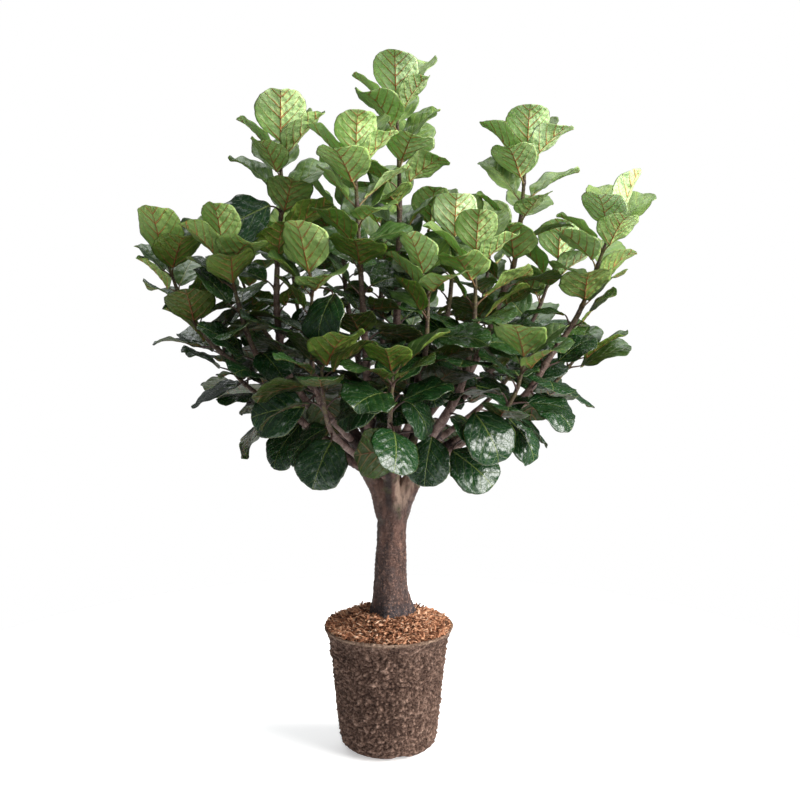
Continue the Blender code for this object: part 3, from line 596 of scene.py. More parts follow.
def tube_points(path, radii, sides):
    """Rings round a path, carried along it without twist."""
    path = np.array([tuple(p) for p in path])
    radii = np.asarray(radii, dtype=float)
    tangents = np.gradient(path, axis=0)
    tangents /= np.linalg.norm(tangents, axis=1)[:, None]
    across = np.cross(tangents[0], (0.0, 1.0, 0.0) if abs(tangents[0][1]) < 0.9 else (1.0, 0.0, 0.0))
    angles = 2 * np.pi * np.arange(sides) / sides
    rings = []
    for point, tangent, radius in zip(path, tangents, radii):
        across = across - tangent * across.dot(tangent)
        across /= np.linalg.norm(across)
        beyond = np.cross(tangent, across)
        rings.append(point + radius * (np.outer(np.cos(angles), across) + np.outer(np.sin(angles), beyond)))
    return np.concatenate(rings)


def bezier(a, b, c, d, steps):
    """Points on the curve from a to d that b and c pull towards them."""
    path = []
    for k in range(steps + 1):
        t = k / steps
        path.append(a * (1 - t) ** 3 + b * 3 * t * (1 - t) ** 2 + c * 3 * t ** 2 * (1 - t) + d * t ** 3)
    return path


# The leaves.
BLADE_ROWS = 34
BLADE_COLUMNS = 28
BLADE_HALF_THICKNESS = 0.00045
BLADE_RIM = 0.02  # in leaf lengths, over which the blade thins to its margin
RIB_DEPTH = 0.0017  # of the midrib below the blade
RIB_BREADTH = 0.0026
STALK_STEPS = 9
STALK_SIDES = 8
STALK_THICKNESS = 0.0021  # its radius on the youngest leaves
STALK_GAIN = 0.0006  # more with age
OLD_STALK_THICKNESS = 0.0026
SHADE_PAINTED_BELOW = 1.48  # painted shade: below this height the leaves take the darker colours of older leaves, for the shade low in the crown
SHADE_PAINTED_PER_METRE = 0.75
# painted shade on the left of the crown, the side away from the key light
SHADE_PAINTED_TO_LEFT = 0.30
COLOUR_WOBBLE = 0.06
SHRINKS = (1.0, 0.97, 0.94, 0.91, 0.88, 0.85, 0.80, 0.74, 0.70)  # sizes, tried in turn
BOX_SPACE = 0.001  # left between a blade and the side of the CAD model's box
VEIN_SPACING = 0.200  # along the midrib, in leaf lengths
VEIN_FIRST = 0.030
VEIN_SLOPE = 0.80
VEIN_CURVE = 0.60
TOP, UNDER, STALK = 0, 1, 2  # material numbers


def outline_half_width(t, age):
    """Half the blade's width in leaf lengths: a wedge at the foot that opens to a round top."""
    u = 2 * t ** 1.12 - 1
    round_part = np.sqrt(np.clip(1 - np.abs(u) ** 2.25, 0.0, 1.0))
    slope = 3.3 + 1.8 * age
    wedge = 0.03 + slope * t
    both = round_part * wedge / (round_part ** 6 + wedge ** 6) ** (1 / 6)
    return 0.5 * LEAF_WIDTH * both


def blade_surface(leaf, shrink, luck):
    """The blade's middle surface as a grid, its upward directions, and where each point is."""
    k = np.linspace(0.0, 1.0, BLADE_ROWS + 1)
    t = 0.5 * (1 - np.cos(np.pi * k)) * 0.55 + 0.45 * k
    x = np.linspace(-1.0, 1.0, BLADE_COLUMNS + 1)
    s = np.sign(x) * np.abs(x) ** 1.2
    along, across = np.meshgrid(t, s, indexing="ij")
    width = outline_half_width(along, leaf.age)
    phase = [luck.uniform(0.0, 2 * math.pi) for _ in range(8)]

    # The flat outline, in leaf lengths, with its notched and lobed margin.
    flat_x = across * width
    lobes = (0.010 + 0.030 * leaf.age) * np.abs(across) ** 2 * np.exp(-along / 0.10)
    notch = 0.022 * np.exp(-(across / 0.22) ** 2) * np.clip((along - 0.8) / 0.2, 0, 1) ** 2
    flat_y = along - lobes - notch * luck.uniform(0.2, 1.0)
    angle = np.arctan2(flat_x, flat_y - 0.5)
    rim = np.clip(np.hypot(flat_x, flat_y - 0.5) / 0.5, 0.0, 1.0)
    teeth = 0.010 * np.sin(7 * angle + phase[0]) + 0.008 * np.sin(13 * angle + phase[1])
    teeth += 0.006 * np.sin(23 * angle + phase[2]) + 0.004 * np.sin(29 * angle + phase[5])
    flat_x = flat_x * (1 + teeth * rim ** 3)
    flat_y = 0.5 + (flat_y - 0.5) * (1 + teeth * rim ** 3 * (along > 0.3))

    # How far the surface rises from flat: cup, wavy margin, quilting between the veins.
    away = np.abs(flat_x)
    cup = leaf.cup
    lift = 0.5 * LEAF_WIDTH * np.abs(across) ** 1.6 * width / 0.49 * math.sin(cup)
    wave = luck.uniform(0.018, 0.042) * rim ** 3 * np.sin(luck.choice((4, 5, 6)) * angle + phase[3])
    wave += luck.uniform(0.006, 0.012) * rim ** 4 * np.sin(11 * angle + phase[4])
    vein = (flat_y - VEIN_SLOPE * away - VEIN_CURVE * away ** 2 - VEIN_FIRST) / VEIN_SPACING
    uneven = 0.55 + 0.45 * np.sin(17 * flat_x + phase[5]) * np.sin(13 * flat_y + phase[6])
    quilt = 0.018 * uneven * np.sin(np.pi * vein) ** 2 * np.clip(away / 0.06, 0, 1) * (1 - rim ** 4)
    puckers = np.sin(36 * flat_x + 9 * flat_y + phase[6]) * np.sin(31 * flat_y - 12 * flat_x + phase[7])
    puckers += np.sin(22 * flat_x - 19 * flat_y + phase[5]) * np.sin(24 * flat_y + phase[4])
    quilt += 0.0042 * puckers * (1 - 0.5 * rim ** 4)
    valley = -0.012 * np.exp(-(flat_x / 0.045) ** 2) * (1 - along)
    sag = -luck.uniform(0.0, 0.10) * np.clip((along - 0.62) / 0.38, 0, 1) ** 2
    twist = luck.uniform(-0.10, 0.10) * flat_x * along
    lift = lift + wave + quilt + valley + sag + twist

    size = leaf.length * shrink
    bend = leaf.bend * flat_y
    reach = size * np.sin(bend) / leaf.bend
    drop = size * (1 - np.cos(bend)) / leaf.bend
    forward, side, upper = (np.array(v) for v in (leaf.along, leaf.side, leaf.upper))
    normal = upper * np.cos(bend)[..., None] + forward * np.sin(bend)[..., None]
    points = (np.array(leaf.foot) + forward * reach[..., None] - upper * drop[..., None]
              + side * (flat_x * size * math.cos(cup))[..., None] + normal * (lift * size)[..., None])
    margin = np.minimum((1 - np.abs(across)) * width, (1 - along))
    where = np.stack([flat_x, flat_y, margin], axis=-1)
    return points, normal, where


def add_blade(body, leaf, shrink, growth, luck):
    """A thin closed blade: its two sides share the margin, and the midrib stands out below."""
    points, normal, where = blade_surface(leaf, shrink, luck)
    flat_x, flat_y, margin = where[..., 0], where[..., 1], where[..., 2]
    half = BLADE_HALF_THICKNESS * np.clip(margin / BLADE_RIM, 0.0, 1.0)
    bulge = np.exp(-(flat_x * leaf.length / RIB_BREADTH) ** 2)
    rib = RIB_DEPTH * (1.05 - flat_y) * bulge * (margin > 0)
    over = points + normal * half[..., None]
    under = points - normal * (half + rib)[..., None]
    rows, columns = points.shape[:2]
    both = np.concatenate([over.reshape(-1, 3), under.reshape(-1, 3)])
    places = np.concatenate([where.reshape(-1, 3)] * 2)
    # The under side's rim points are left out, and its faces use the upper side's.
    number = np.arange(rows * columns).reshape(rows, columns)
    below = number + rows * columns
    rim = np.ones((rows, columns), dtype=bool)
    rim[1:-1, 1:-1] = False
    below[rim] = number[rim]
    kept = np.concatenate([np.ones(rows * columns, dtype=bool), ~rim.ravel()])
    fresh = np.cumsum(kept) - 1
    upper_faces = quads(number)
    under_faces = quads(fresh[below].T)
    kinds = [TOP] * len(upper_faces) + [UNDER] * len(under_faces)
    body.add(both[kept], upper_faces + under_faces, kinds, places[kept], growth)


def add_stalk(body, leaf, growth, thick, arch):
    """The leaf's curved stalk, from inside the stem to under the blade's foot."""
    span = leaf.foot - leaf.start
    inward = leaf.start - span.normalized() * 0.006
    lift = UP * (arch * span.length)
    end = leaf.foot + leaf.along * (0.05 * leaf.length) - leaf.upper * 0.0012
    rising = leaf.start + span * 0.35 + lift
    arriving = leaf.foot - leaf.along * 0.25 * span.length
    path = bezier(inward, rising, arriving, end, STALK_STEPS)
    share = np.linspace(0.0, 1.0, len(path))
    radii = thick * (1.0 - 0.35 * share + 0.55 * np.exp(-share / 0.12))
    radii[-1] *= 0.4
    body.add_tube(path, radii, STALK_SIDES, STALK, np.stack([share] * 3, axis=-1), growth)


def leaf_age_with_painted_shade(leaf, luck):
    """How old its colours look, with painted shade added low in the crown and on the left, away from the key
    light, and two numbers for its pattern.
    """
    low = max(0.0, SHADE_PAINTED_BELOW - leaf.foot.z) * SHADE_PAINTED_PER_METRE
    age = leaf.age + low - SHADE_PAINTED_TO_LEFT * leaf.foot.x + luck.gauss(0.0, COLOUR_WOBBLE)
    return (min(1.0, max(0.0, age)), luck.random(), luck.random())


def fitting_shrink(leaf):
    """The largest of a few sizes at which the blade keeps inside the CAD model's box."""
    low, high = np.array(cad_box[0]), np.array(cad_box[1])
    for shrink in SHRINKS[:-1]:
        points = blade_surface(leaf, shrink, random.Random(leaf_seed(leaf)))[0].reshape(-1, 3)
        if (points > low + BOX_SPACE).all() and (points < high - BOX_SPACE).all():
            return shrink
    return SHRINKS[-1]


def leaf_seed(leaf):
    """A whole number that differs from leaf to leaf and is the same each run."""
    return int(1e4 * (leaf.foot.x + 3 * leaf.foot.y + 7 * leaf.foot.z + 5))


def add_leaf(body, leaf, thick, arch):
    """One leaf, with its own luck for its shape and for its colours."""
    luck = random.Random(leaf_seed(leaf))
    growth = leaf_age_with_painted_shade(leaf, random.Random(leaf_seed(leaf) + 1))
    shrink = fitting_shrink(leaf)
    add_blade(body, leaf, shrink, growth, luck)
    add_stalk(body, leaf, growth, thick, arch)


def make_shoot_leaves(name, leaves, materials):
    """All of a shoot's leaves, as one piece."""
    body = Body()
    for leaf in leaves:
        add_leaf(body, leaf, STALK_THICKNESS + STALK_GAIN * leaf.age, 0.10)
    return body.finish(name + "_leaves", materials, "young_foliage", ["shoot_" + name])


def make_old_leaf(name, leaf, materials):
    """One old leaf, with a more arched stalk."""
    body = Body()
    add_leaf(body, leaf, OLD_STALK_THICKNESS, 0.18)
    return body.finish(name + "_blade", materials, "old_foliage", [name])


# The wood.
STEM_SIDES = 12
STEM_STEP = 0.004
STEM_OVERLAP = 0.014  # how far a shoot's stem starts inside its limb
NODE_SWELL = 0.10  # of the radius, where a leaf grows
NODE_LENGTH = 0.006
SCAR_DEPTH = 0.06  # of the radius, in the ring below each leaf
SCAR_LENGTH = 0.002
SCAR_DROP = 0.010
TRUNK_SKIN_SIDES = 40
TRUNK_SKIN_STEP = 0.006
MAIN_LIMB_SIDES = 16
LIMB_SKIN_SIDES = 14
SKIN_CELL = 0.0026  # of the skin that joins the trunk and limbs
SKIN_SMOOTHING = 5
FLARE_MIDDLE = 0.345  # the height at which the root flare's lobes stand out most
FLARE_SPREAD = 0.040


def make_stem(name, leaves, material):
    """A shoot's stem: it swells at its leaves, with a scar ring under each."""
    path = split_stem(name)[1]
    total = sum((b - a).length for a, b in zip(path, path[1:]))
    count = int(total / STEM_STEP)
    shares = np.linspace(0.0, 1.0, count + 1)
    points = [along_path(path, share)[0] for share in shares]
    first = (points[1] - points[0]).normalized()
    points = [points[0] - first * STEM_OVERLAP] + points
    radii = np.array([shoot_radius(name, share) for share in shares])
    for leaf in leaves:
        gap = (shares - leaf.fraction) * total
        radii += NODE_SWELL * radii * np.exp(-(gap / NODE_LENGTH) ** 2)
        radii -= SCAR_DEPTH * radii * np.exp(-((gap + SCAR_DROP) / SCAR_LENGTH) ** 2)
    luck = random.Random(len(name) + count)
    wobble = luck.uniform(0, 6)
    radii *= 1 + 0.05 * np.sin(shares * total / 0.021 + wobble) + 0.03 * np.sin(shares * total / 0.0063)
    radii = np.concatenate([radii[:1] * 0.93, radii])
    radii[1] *= 0.97
    radii[-1] *= 0.5
    shares = np.concatenate([[0.0], shares])
    places = np.stack([shares, shares * total, shares], axis=-1)
    body = Body()
    body.add_tube(points, radii, STEM_SIDES, 0, places)
    return body.finish(name + "_stem", [material], "bark")


def trunk_radius(height):
    """The trunk's radius and lean at a height, straight between its driving sections."""
    heights, radii, leans = zip(*TRUNK_SHAPE)
    return np.interp(height, heights, radii), np.interp(height, heights, leans)


def trunk_points(sides, step):
    """The trunk's surface, with the lobes of its root flare and slight flutes above."""
    low, high = TRUNK_SHAPE[0][0], TRUNK_SHAPE[-1][0]
    heights = np.arange(low, high, step)
    angles = 2 * np.pi * np.arange(sides) / sides
    rings = []
    for height in heights:
        near = [trunk_radius(height + d) for d in (-0.012, -0.006, 0.0, 0.006, 0.012)]
        radius = sum(pair[0] for pair in near) / len(near)
        lean = sum(pair[1] for pair in near) / len(near)
        flare = math.exp(-((height - FLARE_MIDDLE) / FLARE_SPREAD) ** 2)
        lobes = flare * (0.075 * np.sin(3 * angles + 0.6) + 0.070 * np.sin(7 * angles + 2.1))
        flutes = 0.020 * np.sin(2 * angles + 6 * height) + 0.018 * np.sin(5 * angles - 9 * height + 1.0)
        size = radius * (1 + lobes + flutes)
        rings.append(np.stack([lean + size * np.cos(angles), size * np.sin(angles),
                               np.full(sides, height)], axis=-1))
    return np.concatenate(rings), tube_faces(len(heights), sides)


def make_trunk(material):
    """Trunk and bare limbs as one skin, with bark relief."""
    body = Body()
    body.add(*trunk_points(TRUNK_SKIN_SIDES, TRUNK_SKIN_STEP))
    for knots, thick, thin in MAIN_LIMBS.values():
        path = smooth_path(knots, 10)
        body.add_tube(path, np.linspace(thick, thin, len(path)), MAIN_LIMB_SIDES)
    for name in STEMS:
        path = stem_path(name)[:PATH_STEPS + 2]
        radii = np.linspace(LIMB_FOOT_RADIUS * 1.06, STEMS[name][3] * 0.99, len(path))
        body.add_tube(path, radii, LIMB_SKIN_SIDES)
    mesh = joined_skin(body)
    mesh.materials.clear()
    mesh.materials.append(material)
    places = np.empty(3 * len(mesh.vertices))
    normals = np.empty(3 * len(mesh.vertices))
    mesh.vertices.foreach_get("co", places)
    mesh.vertex_normals.foreach_get("vector", normals)
    relief = [bark_relief(x, y, z) for x, y, z in places.reshape(-1, 3)]
    places += normals * np.repeat(relief, 3)
    mesh.vertices.foreach_set("co", places)
    mesh.update()
    mesh.shade_smooth()
    return place_piece("trunk_and_limbs", mesh, ["trunk"])


def joined_skin(body):
    """One smooth skin round overlapping tubes."""
    guide = bpy.data.objects.new("trunk_guide", body.mesh("trunk_rough"))
    bpy.context.scene.collection.objects.link(guide)
    skin = guide.modifiers.new("skin", "REMESH")
    skin.mode = "VOXEL"
    skin.voxel_size = SKIN_CELL
    ease = guide.modifiers.new("ease", "SMOOTH")
    ease.factor = 0.5
    ease.iterations = SKIN_SMOOTHING
    mesh = bpy.data.meshes.new_from_object(guide.evaluated_get(bpy.context.evaluated_depsgraph_get()))
    bpy.data.objects.remove(guide)
    return mesh


def bark_relief(x, y, z):
    """How far the bark stands out at a place, in metres: broad swells, fissures and scales."""
    fissures = noise.noise(Vector((x * 95, y * 95, z * 26)))
    scales = abs(noise.noise(Vector((x * 170, y * 170, z * 120)) + Vector((7, 3, 1))))
    swell = noise.noise(Vector((x * 30, y * 30, z * 14)))
    return 0.0022 * swell + 0.0018 * fissures + 0.0030 * scales


# The pot.
POT_SEGMENTS = 400
FOOT_ROWS = 22
WALL_ROWS = 115
RELIEF_DEPTH = 0.0062  # of the matted wall, at its strongest
RELIEF_SINK = 0.0026  # how far the wall's middle lies inside the CAD model's
RELIEF_FADE = 0.016  # the height over which the relief fades out at the foot
FOOT_NICK = (-1.28, 0.17, 0.006)  # the nick in the foot's edge: its angle, half width and height


def pot_profile():
    """The pot's section from under its middle, up the outside, over the lip and down inside."""
    foot = POT_FOOT_RADIUS - POT_FOOT_ROUNDING
    inner = POT_FOOT_ROUNDING - POT_WALL
    points = [(r, 0.0) for r in np.linspace(0.004, foot, 12)]
    points += arc((foot, POT_FOOT_ROUNDING), POT_FOOT_ROUNDING, -90, 0, FOOT_ROWS)[1:]
    wall = np.linspace(POT_FOOT_ROUNDING, POT_SHOULDER, WALL_ROWS + 1)[1:]
    points += [(pot_inside_radius(h) + POT_WALL, h) for h in wall]
    lip = [(POT_TOP_RADIUS, POT_SHOULDER), (POT_TOP_RADIUS + 0.0025, POT_SHOULDER + 0.014),
           (POT_TOP_RADIUS + 0.006, POT_HEIGHT - 0.020), (POT_LIP_RADIUS - 0.004, POT_HEIGHT - 0.010),
           (POT_LIP_RADIUS - 0.001, POT_HEIGHT - 0.004), (POT_LIP_RADIUS - 0.003, POT_HEIGHT - 0.001),
           (POT_LIP_RADIUS - 0.008, POT_HEIGHT - 0.002), (POT_TOP_RADIUS + 0.001, POT_HEIGHT - 0.014),
           (POT_TOP_RADIUS - POT_WALL + 0.002, POT_SHOULDER)]
    curve = smooth_path([(r, 0.0, h) for r, h in lip], 3)
    points += [(p.x, p.z) for p in curve[1:]]
    points += [(pot_inside_radius(h), h) for h in np.linspace(POT_SHOULDER - 0.01, POT_FOOT_ROUNDING, 12)]
    points += arc((foot, POT_FLOOR + inner), inner, 0, -90, 4)[1:]
    points += [(r, POT_FLOOR) for r in np.linspace(foot - 0.01, 0.004, 4)]
    return points


def arc(centre, radius, start, end, steps):
    """Points on an arc from one angle to another, both ends included."""
    angles = [math.radians(start + (end - start) * k / steps) for k in range(steps + 1)]
    return [(centre[0] + radius * math.cos(a), centre[1] + radius * math.sin(a)) for a in angles]


def pot_inside_radius(height):
    """The radius of the pot's inner wall at a height."""
    share = (height - POT_FOOT_ROUNDING) / (POT_SHOULDER - POT_FOOT_ROUNDING)
    return POT_FOOT_RADIUS + (POT_TOP_RADIUS - POT_FOOT_RADIUS) * share - POT_WALL


def pulp_relief(x, y, z):
    """The matted wall's relief at a place: lumps, clods and crumbs with creases between."""
    lumps = noise.noise(Vector((x * 24, y * 24, z * 24)))
    clods = 3.4 * abs(noise.noise(Vector((x * 62, y * 62, z * 76)) + Vector((3, 5, 9)))) - 0.8
    crumbs = 3.4 * abs(noise.noise(Vector((x * 120, y * 120, z * 150)) + Vector((8, 1, 4)))) - 0.8
    return 0.30 * lumps + 0.38 * clods + 0.36 * crumbs


def make_pot(material):
    """The pulp pot, with a rough matted wall, an uneven lip and a nicked foot. Its growth
    attribute holds the relief, which its material reads to paint shade in the hollows
    and light on the lumps."""
    profile = pot_profile()
    points = []
    growth = []
    nick_angle, nick_width, nick_height = FOOT_NICK
    for radius, height in profile:
        above_foot = min(1.0, max(0.0, height / RELIEF_FADE))
        near_lip = min(1.0, max(0.0, (height - POT_SHOULDER) / (POT_HEIGHT - POT_SHOULDER)))
        for k in range(POT_SEGMENTS):
            angle = 2 * math.pi * k / POT_SEGMENTS
            x, y = radius * math.cos(angle), radius * math.sin(angle)
            relief = pulp_relief(x, y, height)
            push = above_foot * (1 - 0.75 * near_lip) * (RELIEF_DEPTH * relief - RELIEF_SINK)
            sway = 0.0017 * math.sin(3 * angle + 0.5) + 0.0010 * math.sin(7 * angle + 2.0)
            sway += 0.0006 * math.sin(17 * angle) + 0.0004 * math.sin(41 * angle)
            reach = (radius + push + near_lip * (0.5 * sway + 0.0014)) / radius
            off = math.remainder(angle - nick_angle, 2 * math.pi) / nick_width
            nick = nick_height * math.exp(-off ** 4) * (radius > 0.085) * (1 - above_foot)
            points.append((x * reach, y * reach, height + near_lip * (sway - 0.0032) + nick))
            growth.append((relief, 0.0, 0.0))
    body = Body()
    body.add(points, tube_faces(len(profile), POT_SEGMENTS), growth=growth)
    return body.finish("pulp_pot", [material], "pulp", ["pot"])


# The mulch.
CHIPS = 4400
CHIP_LENGTH = (0.010, 0.046)  # from the shortest to the longest
CHIP_WIDTH = (0.0018, 0.0066)
CHIP_THICKNESS = (0.0006, 0.0014)
CHIP_RINGS = 5
MULCH_INNER = 0.050
BED_RINGS = 26
BED_SIDES = 120
BED_DEPTH = 0.006  # of the bed's top below the heap's
# The heap's height at some distances from its middle.
MULCH_SHAPE = ((0.0, MULCH_CROWN_TOP), (0.082, MULCH_CROWN_TOP - 0.002), (0.112, 0.348),
               (0.138, 0.337), (0.158, POT_HEIGHT - 0.001), (0.166, POT_HEIGHT - 0.003))


def mulch_height(radius):
    """The heap's height at a distance from its middle."""
    return float(np.interp(radius, *zip(*MULCH_SHAPE)))


def make_mulch(material):
    """A bed of fine husk with thousands of curled shreds on it."""
    points = []
    for radius in np.linspace(MULCH_INNER, POT_TOP_RADIUS - 0.003, BED_RINGS):
        for x, y in circle(radius, BED_SIDES):
            bumps = noise.noise(Vector((x * 90, y * 90, 2.0))) * 0.002
            points.append((x, y, mulch_height(radius) - BED_DEPTH + bumps))
    for radius in (pot_inside_radius(SOIL_TOP) - 0.002, MULCH_INNER):
        points += [(x, y, SOIL_TOP + 0.001) for x, y in circle(radius, BED_SIDES)]
    number = np.arange(len(points)).reshape(-1, BED_SIDES)
    body = Body()
    body.add(points, [face[::-1] for face in band_faces(np.vstack([number, number[:1]]))])
    luck = random.Random(11)
    for _ in range(CHIPS):
        add_chip(body, luck, POT_LIP_RADIUS - 0.004)
    return body.finish("husk_shreds", [material], "husk", ["husk_mulch"])


def add_chip(body, luck, outer):
    """One shred: a thin curled strip with square ends, lying at a slant on the heap."""
    shortest, longest = CHIP_LENGTH
    length = shortest + (longest - shortest) * luck.random() ** 2
    width = luck.uniform(*CHIP_WIDTH)
    thick = luck.uniform(*CHIP_THICKNESS)
    radius = math.sqrt(luck.uniform(MULCH_INNER ** 2, (outer - 0.003) ** 2))
    angle = luck.uniform(0, 2 * math.pi)
    middle = Vector((radius * math.cos(angle), radius * math.sin(angle), 0.0))
    middle.z = mulch_height(radius) + luck.uniform(-0.005, 0.0045)
    heading = luck.uniform(0, 2 * math.pi)
    pitch = luck.gauss(0.0, 0.30)
    level = math.cos(pitch)
    along = Vector((math.cos(heading) * level, math.sin(heading) * level, math.sin(pitch)))
    side = along.cross(UP).normalized()
    roll = luck.gauss(0.0, 0.5)
    upper = side.cross(along)
    side = side * math.cos(roll) + upper * math.sin(roll)
    upper = side.cross(along)
    curl = luck.uniform(-0.9, 0.9)
    points = []
    for k in range(CHIP_RINGS):
        t = k / (CHIP_RINGS - 1) - 0.5
        centre = middle + along * (length * t) + upper * (curl * length * (t * t - 0.08))
        half = width * 0.5 * (1 - 0.9 * abs(t) ** 3 * 2)
        rise = upper * (thick * 0.5)
        points += [centre - side * half - rise, centre + side * half - rise,
                   centre + side * half + rise, centre - side * half + rise]
    reach = max(math.hypot(p.x, p.y) for p in points)
    if reach > outer:
        points = [Vector((p.x * outer / reach, p.y * outer / reach, p.z)) for p in points]
    growth = (luck.random(), luck.random(), 0.0)
    body.add([tuple(p) for p in points], tube_faces(CHIP_RINGS, 4), growth=growth)


# Materials.

class Nodes:
    """Short calls that build one material's nodes."""

    def __init__(self, name):
        self.material = bpy.data.materials.new(name)
        self.material.use_nodes = True
        self.tree = self.material.node_tree
        self.shader = self.tree.nodes["Principled BSDF"]

    def set(self, socket, value):
        """Links the value to the socket if it is one, or else writes it there."""
        if isinstance(value, bpy.types.NodeSocket):
            self.tree.links.new(value, socket)
        else:
            socket.default_value = value

    def add(self, kind, inputs, out=0, **settings):
        """One output of a new node with these inputs and settings."""
        node = self.tree.nodes.new("ShaderNode" + kind)
        for key, value in settings.items():
            setattr(node, key, value)
        for key, value in inputs.items():
            self.set(node.inputs[key], value)
        return node.outputs[out]

    def math(self, operation, a, b=0.5, c=0.5):
        return self.add("Math", {0: a, 1: b, 2: c}, operation=operation)

    def times(self, first, *others):
        for other in others:
            first = self.math("MULTIPLY", first, other)
        return first

    def plus(self, a, b):
        return self.math("ADD", a, b)

    def minus(self, first, *others):
        for other in others:
            first = self.math("SUBTRACT", first, other)
        return first

    def line(self, value, slope, start):
        """The value times the slope, plus the start."""
        return self.math("MULTIPLY_ADD", value, slope, start)

    def total(self, *weighed):
        """The sum of values, each given with its weight."""
        result = 0.0
        for value, weight in weighed:
            result = self.line(value, weight, result)
        return result

    def mix(self, share, a, b, blend="MIX"):
        """A mix of two colours, each a socket or three numbers."""
        a, b = ((*c, 1.0) if isinstance(c, tuple) else c for c in (a, b))
        return self.add("Mix", {0: share, 6: a, 7: b}, 2, data_type="RGBA", blend_type=blend)

    def tinted(self, share, base, factor):
        """The base colour, multiplied by the factor for that share."""
        return self.mix(share, base, self.mix(1.0, base, factor, "MULTIPLY"))

    def shaded(self, base, chance):
        """The base colour, a quarter darker to a quarter lighter by chance."""
        shade = self.line(chance, 0.5, 0.75)
        return self.mix(1.0, base, self.combine(shade, shade, shade), "MULTIPLY")

    def ease(self, value, low, high, start=0.0, end=1.0):
        """Runs smoothly from start to end as the value goes from low to high."""
        inputs = {0: value, 1: low, 2: high, 3: start, 4: end}
        return self.add("MapRange", inputs, interpolation_type="SMOOTHSTEP")

    def noise(self, vector, scale, detail=3.0, roughness=0.55):
        inputs = {"Vector": vector, "Scale": scale, "Detail": detail, "Roughness": roughness}
        return self.add("TexNoise", inputs)

    def cells(self, vector, scale, feature="DISTANCE_TO_EDGE"):
        return self.add("TexVoronoi", {"Vector": vector, "Scale": scale}, feature=feature)

    def colours(self, value, stops):
        """A colour that runs through the stops, each a place and three numbers."""
        node = self.tree.nodes.new("ShaderNodeValToRGB")
        marks = node.color_ramp.elements
        while len(marks) < len(stops):
            marks.new(1.0)
        for mark, (place, colour) in zip(marks, stops):
            mark.position = place
            mark.color = (*colour, 1.0)
        self.set(node.inputs[0], value)
        return node.outputs[0]

    def split(self, attribute):
        """The three numbers of a vector attribute."""
        vector = self.add("Attribute", {}, 1, attribute_name=attribute)
        parts = self.tree.nodes.new("ShaderNodeSeparateXYZ")
        self.set(parts.inputs[0], vector)
        return parts.outputs[0], parts.outputs[1], parts.outputs[2]

    def combine(self, x, y, z):
        return self.add("CombineXYZ", {0: x, 1: y, 2: z})

    def object_place(self, stretch=(1.0, 1.0, 1.0)):
        """The place in the object's own metres, stretched along the axes."""
        place = self.add("TexCoord", {}, 3)
        return self.add("VectorMath", {0: place, 1: stretch}, operation="MULTIPLY")

    def bump(self, height, distance, strength=1.0):
        """Fine relief, in metres for each unit of height."""
        inputs = {"Height": height, "Distance": distance, "Strength": strength}
        self.set(self.shader.inputs["Normal"], self.add("Bump", inputs))

    def finish(self, colour, roughness, **constants):
        """The material, with constants for the shader's other sockets by name."""
        self.set(self.shader.inputs["Base Color"], colour)
        self.set(self.shader.inputs["Roughness"], roughness)
        for key, value in constants.items():
            self.shader.inputs[key.replace("_", " ")].default_value = value
        return self.material


UNDER_VEIN_BREADTH = 1.60
TOP_VEIN_BREADTH = 0.80


def vein_masks(n, x, y, spot, breadth):
    """How much a point lies on the midrib, a side vein and the fine net, and how far it is
    from the nearest side vein."""
    away = n.math("ABSOLUTE", x)
    wobble = n.times(n.minus(n.noise(spot, 5.0, 1.0), 0.5), 0.05)
    slope = n.times(away, VEIN_SLOPE)
    curve = n.times(away, away, VEIN_CURVE)
    line = n.plus(n.minus(y, slope, curve), wobble)
    turn = n.math("DIVIDE", n.minus(line, VEIN_FIRST), VEIN_SPACING)
    gap = n.times(n.math("PINGPONG", turn, 0.5), VEIN_SPACING)
    wide = n.math("MAXIMUM", n.line(away, -0.026, 0.0190), 0.0060)
    wide = n.times(wide, breadth)
    side = n.ease(gap, n.times(wide, 0.35), wide, 1.0, 0.0)
    faint = n.ease(n.noise(spot, 6.0, 2.0), 0.30, 0.46, 0.45, 1.0)
    side = n.times(side, faint, n.ease(line, -0.05, -0.01), n.ease(line, 0.86, 0.95, 1.0, 0.0))
    rib_width = n.line(y, -0.016, 0.0240)
    rib = n.ease(away, n.times(rib_width, 0.45), rib_width, 1.0, 0.0)
    net = n.ease(n.cells(spot, 17.0), 0.0, 0.07, 1.0, 0.0)
    return rib, side, net, gap


def leaf_spot(n, x, y, tint):
    """A place on the leaf that gives each leaf its own stretch of every pattern."""
    return n.combine(n.line(tint, 31.0, x), n.line(tint, 17.0, y), tint)


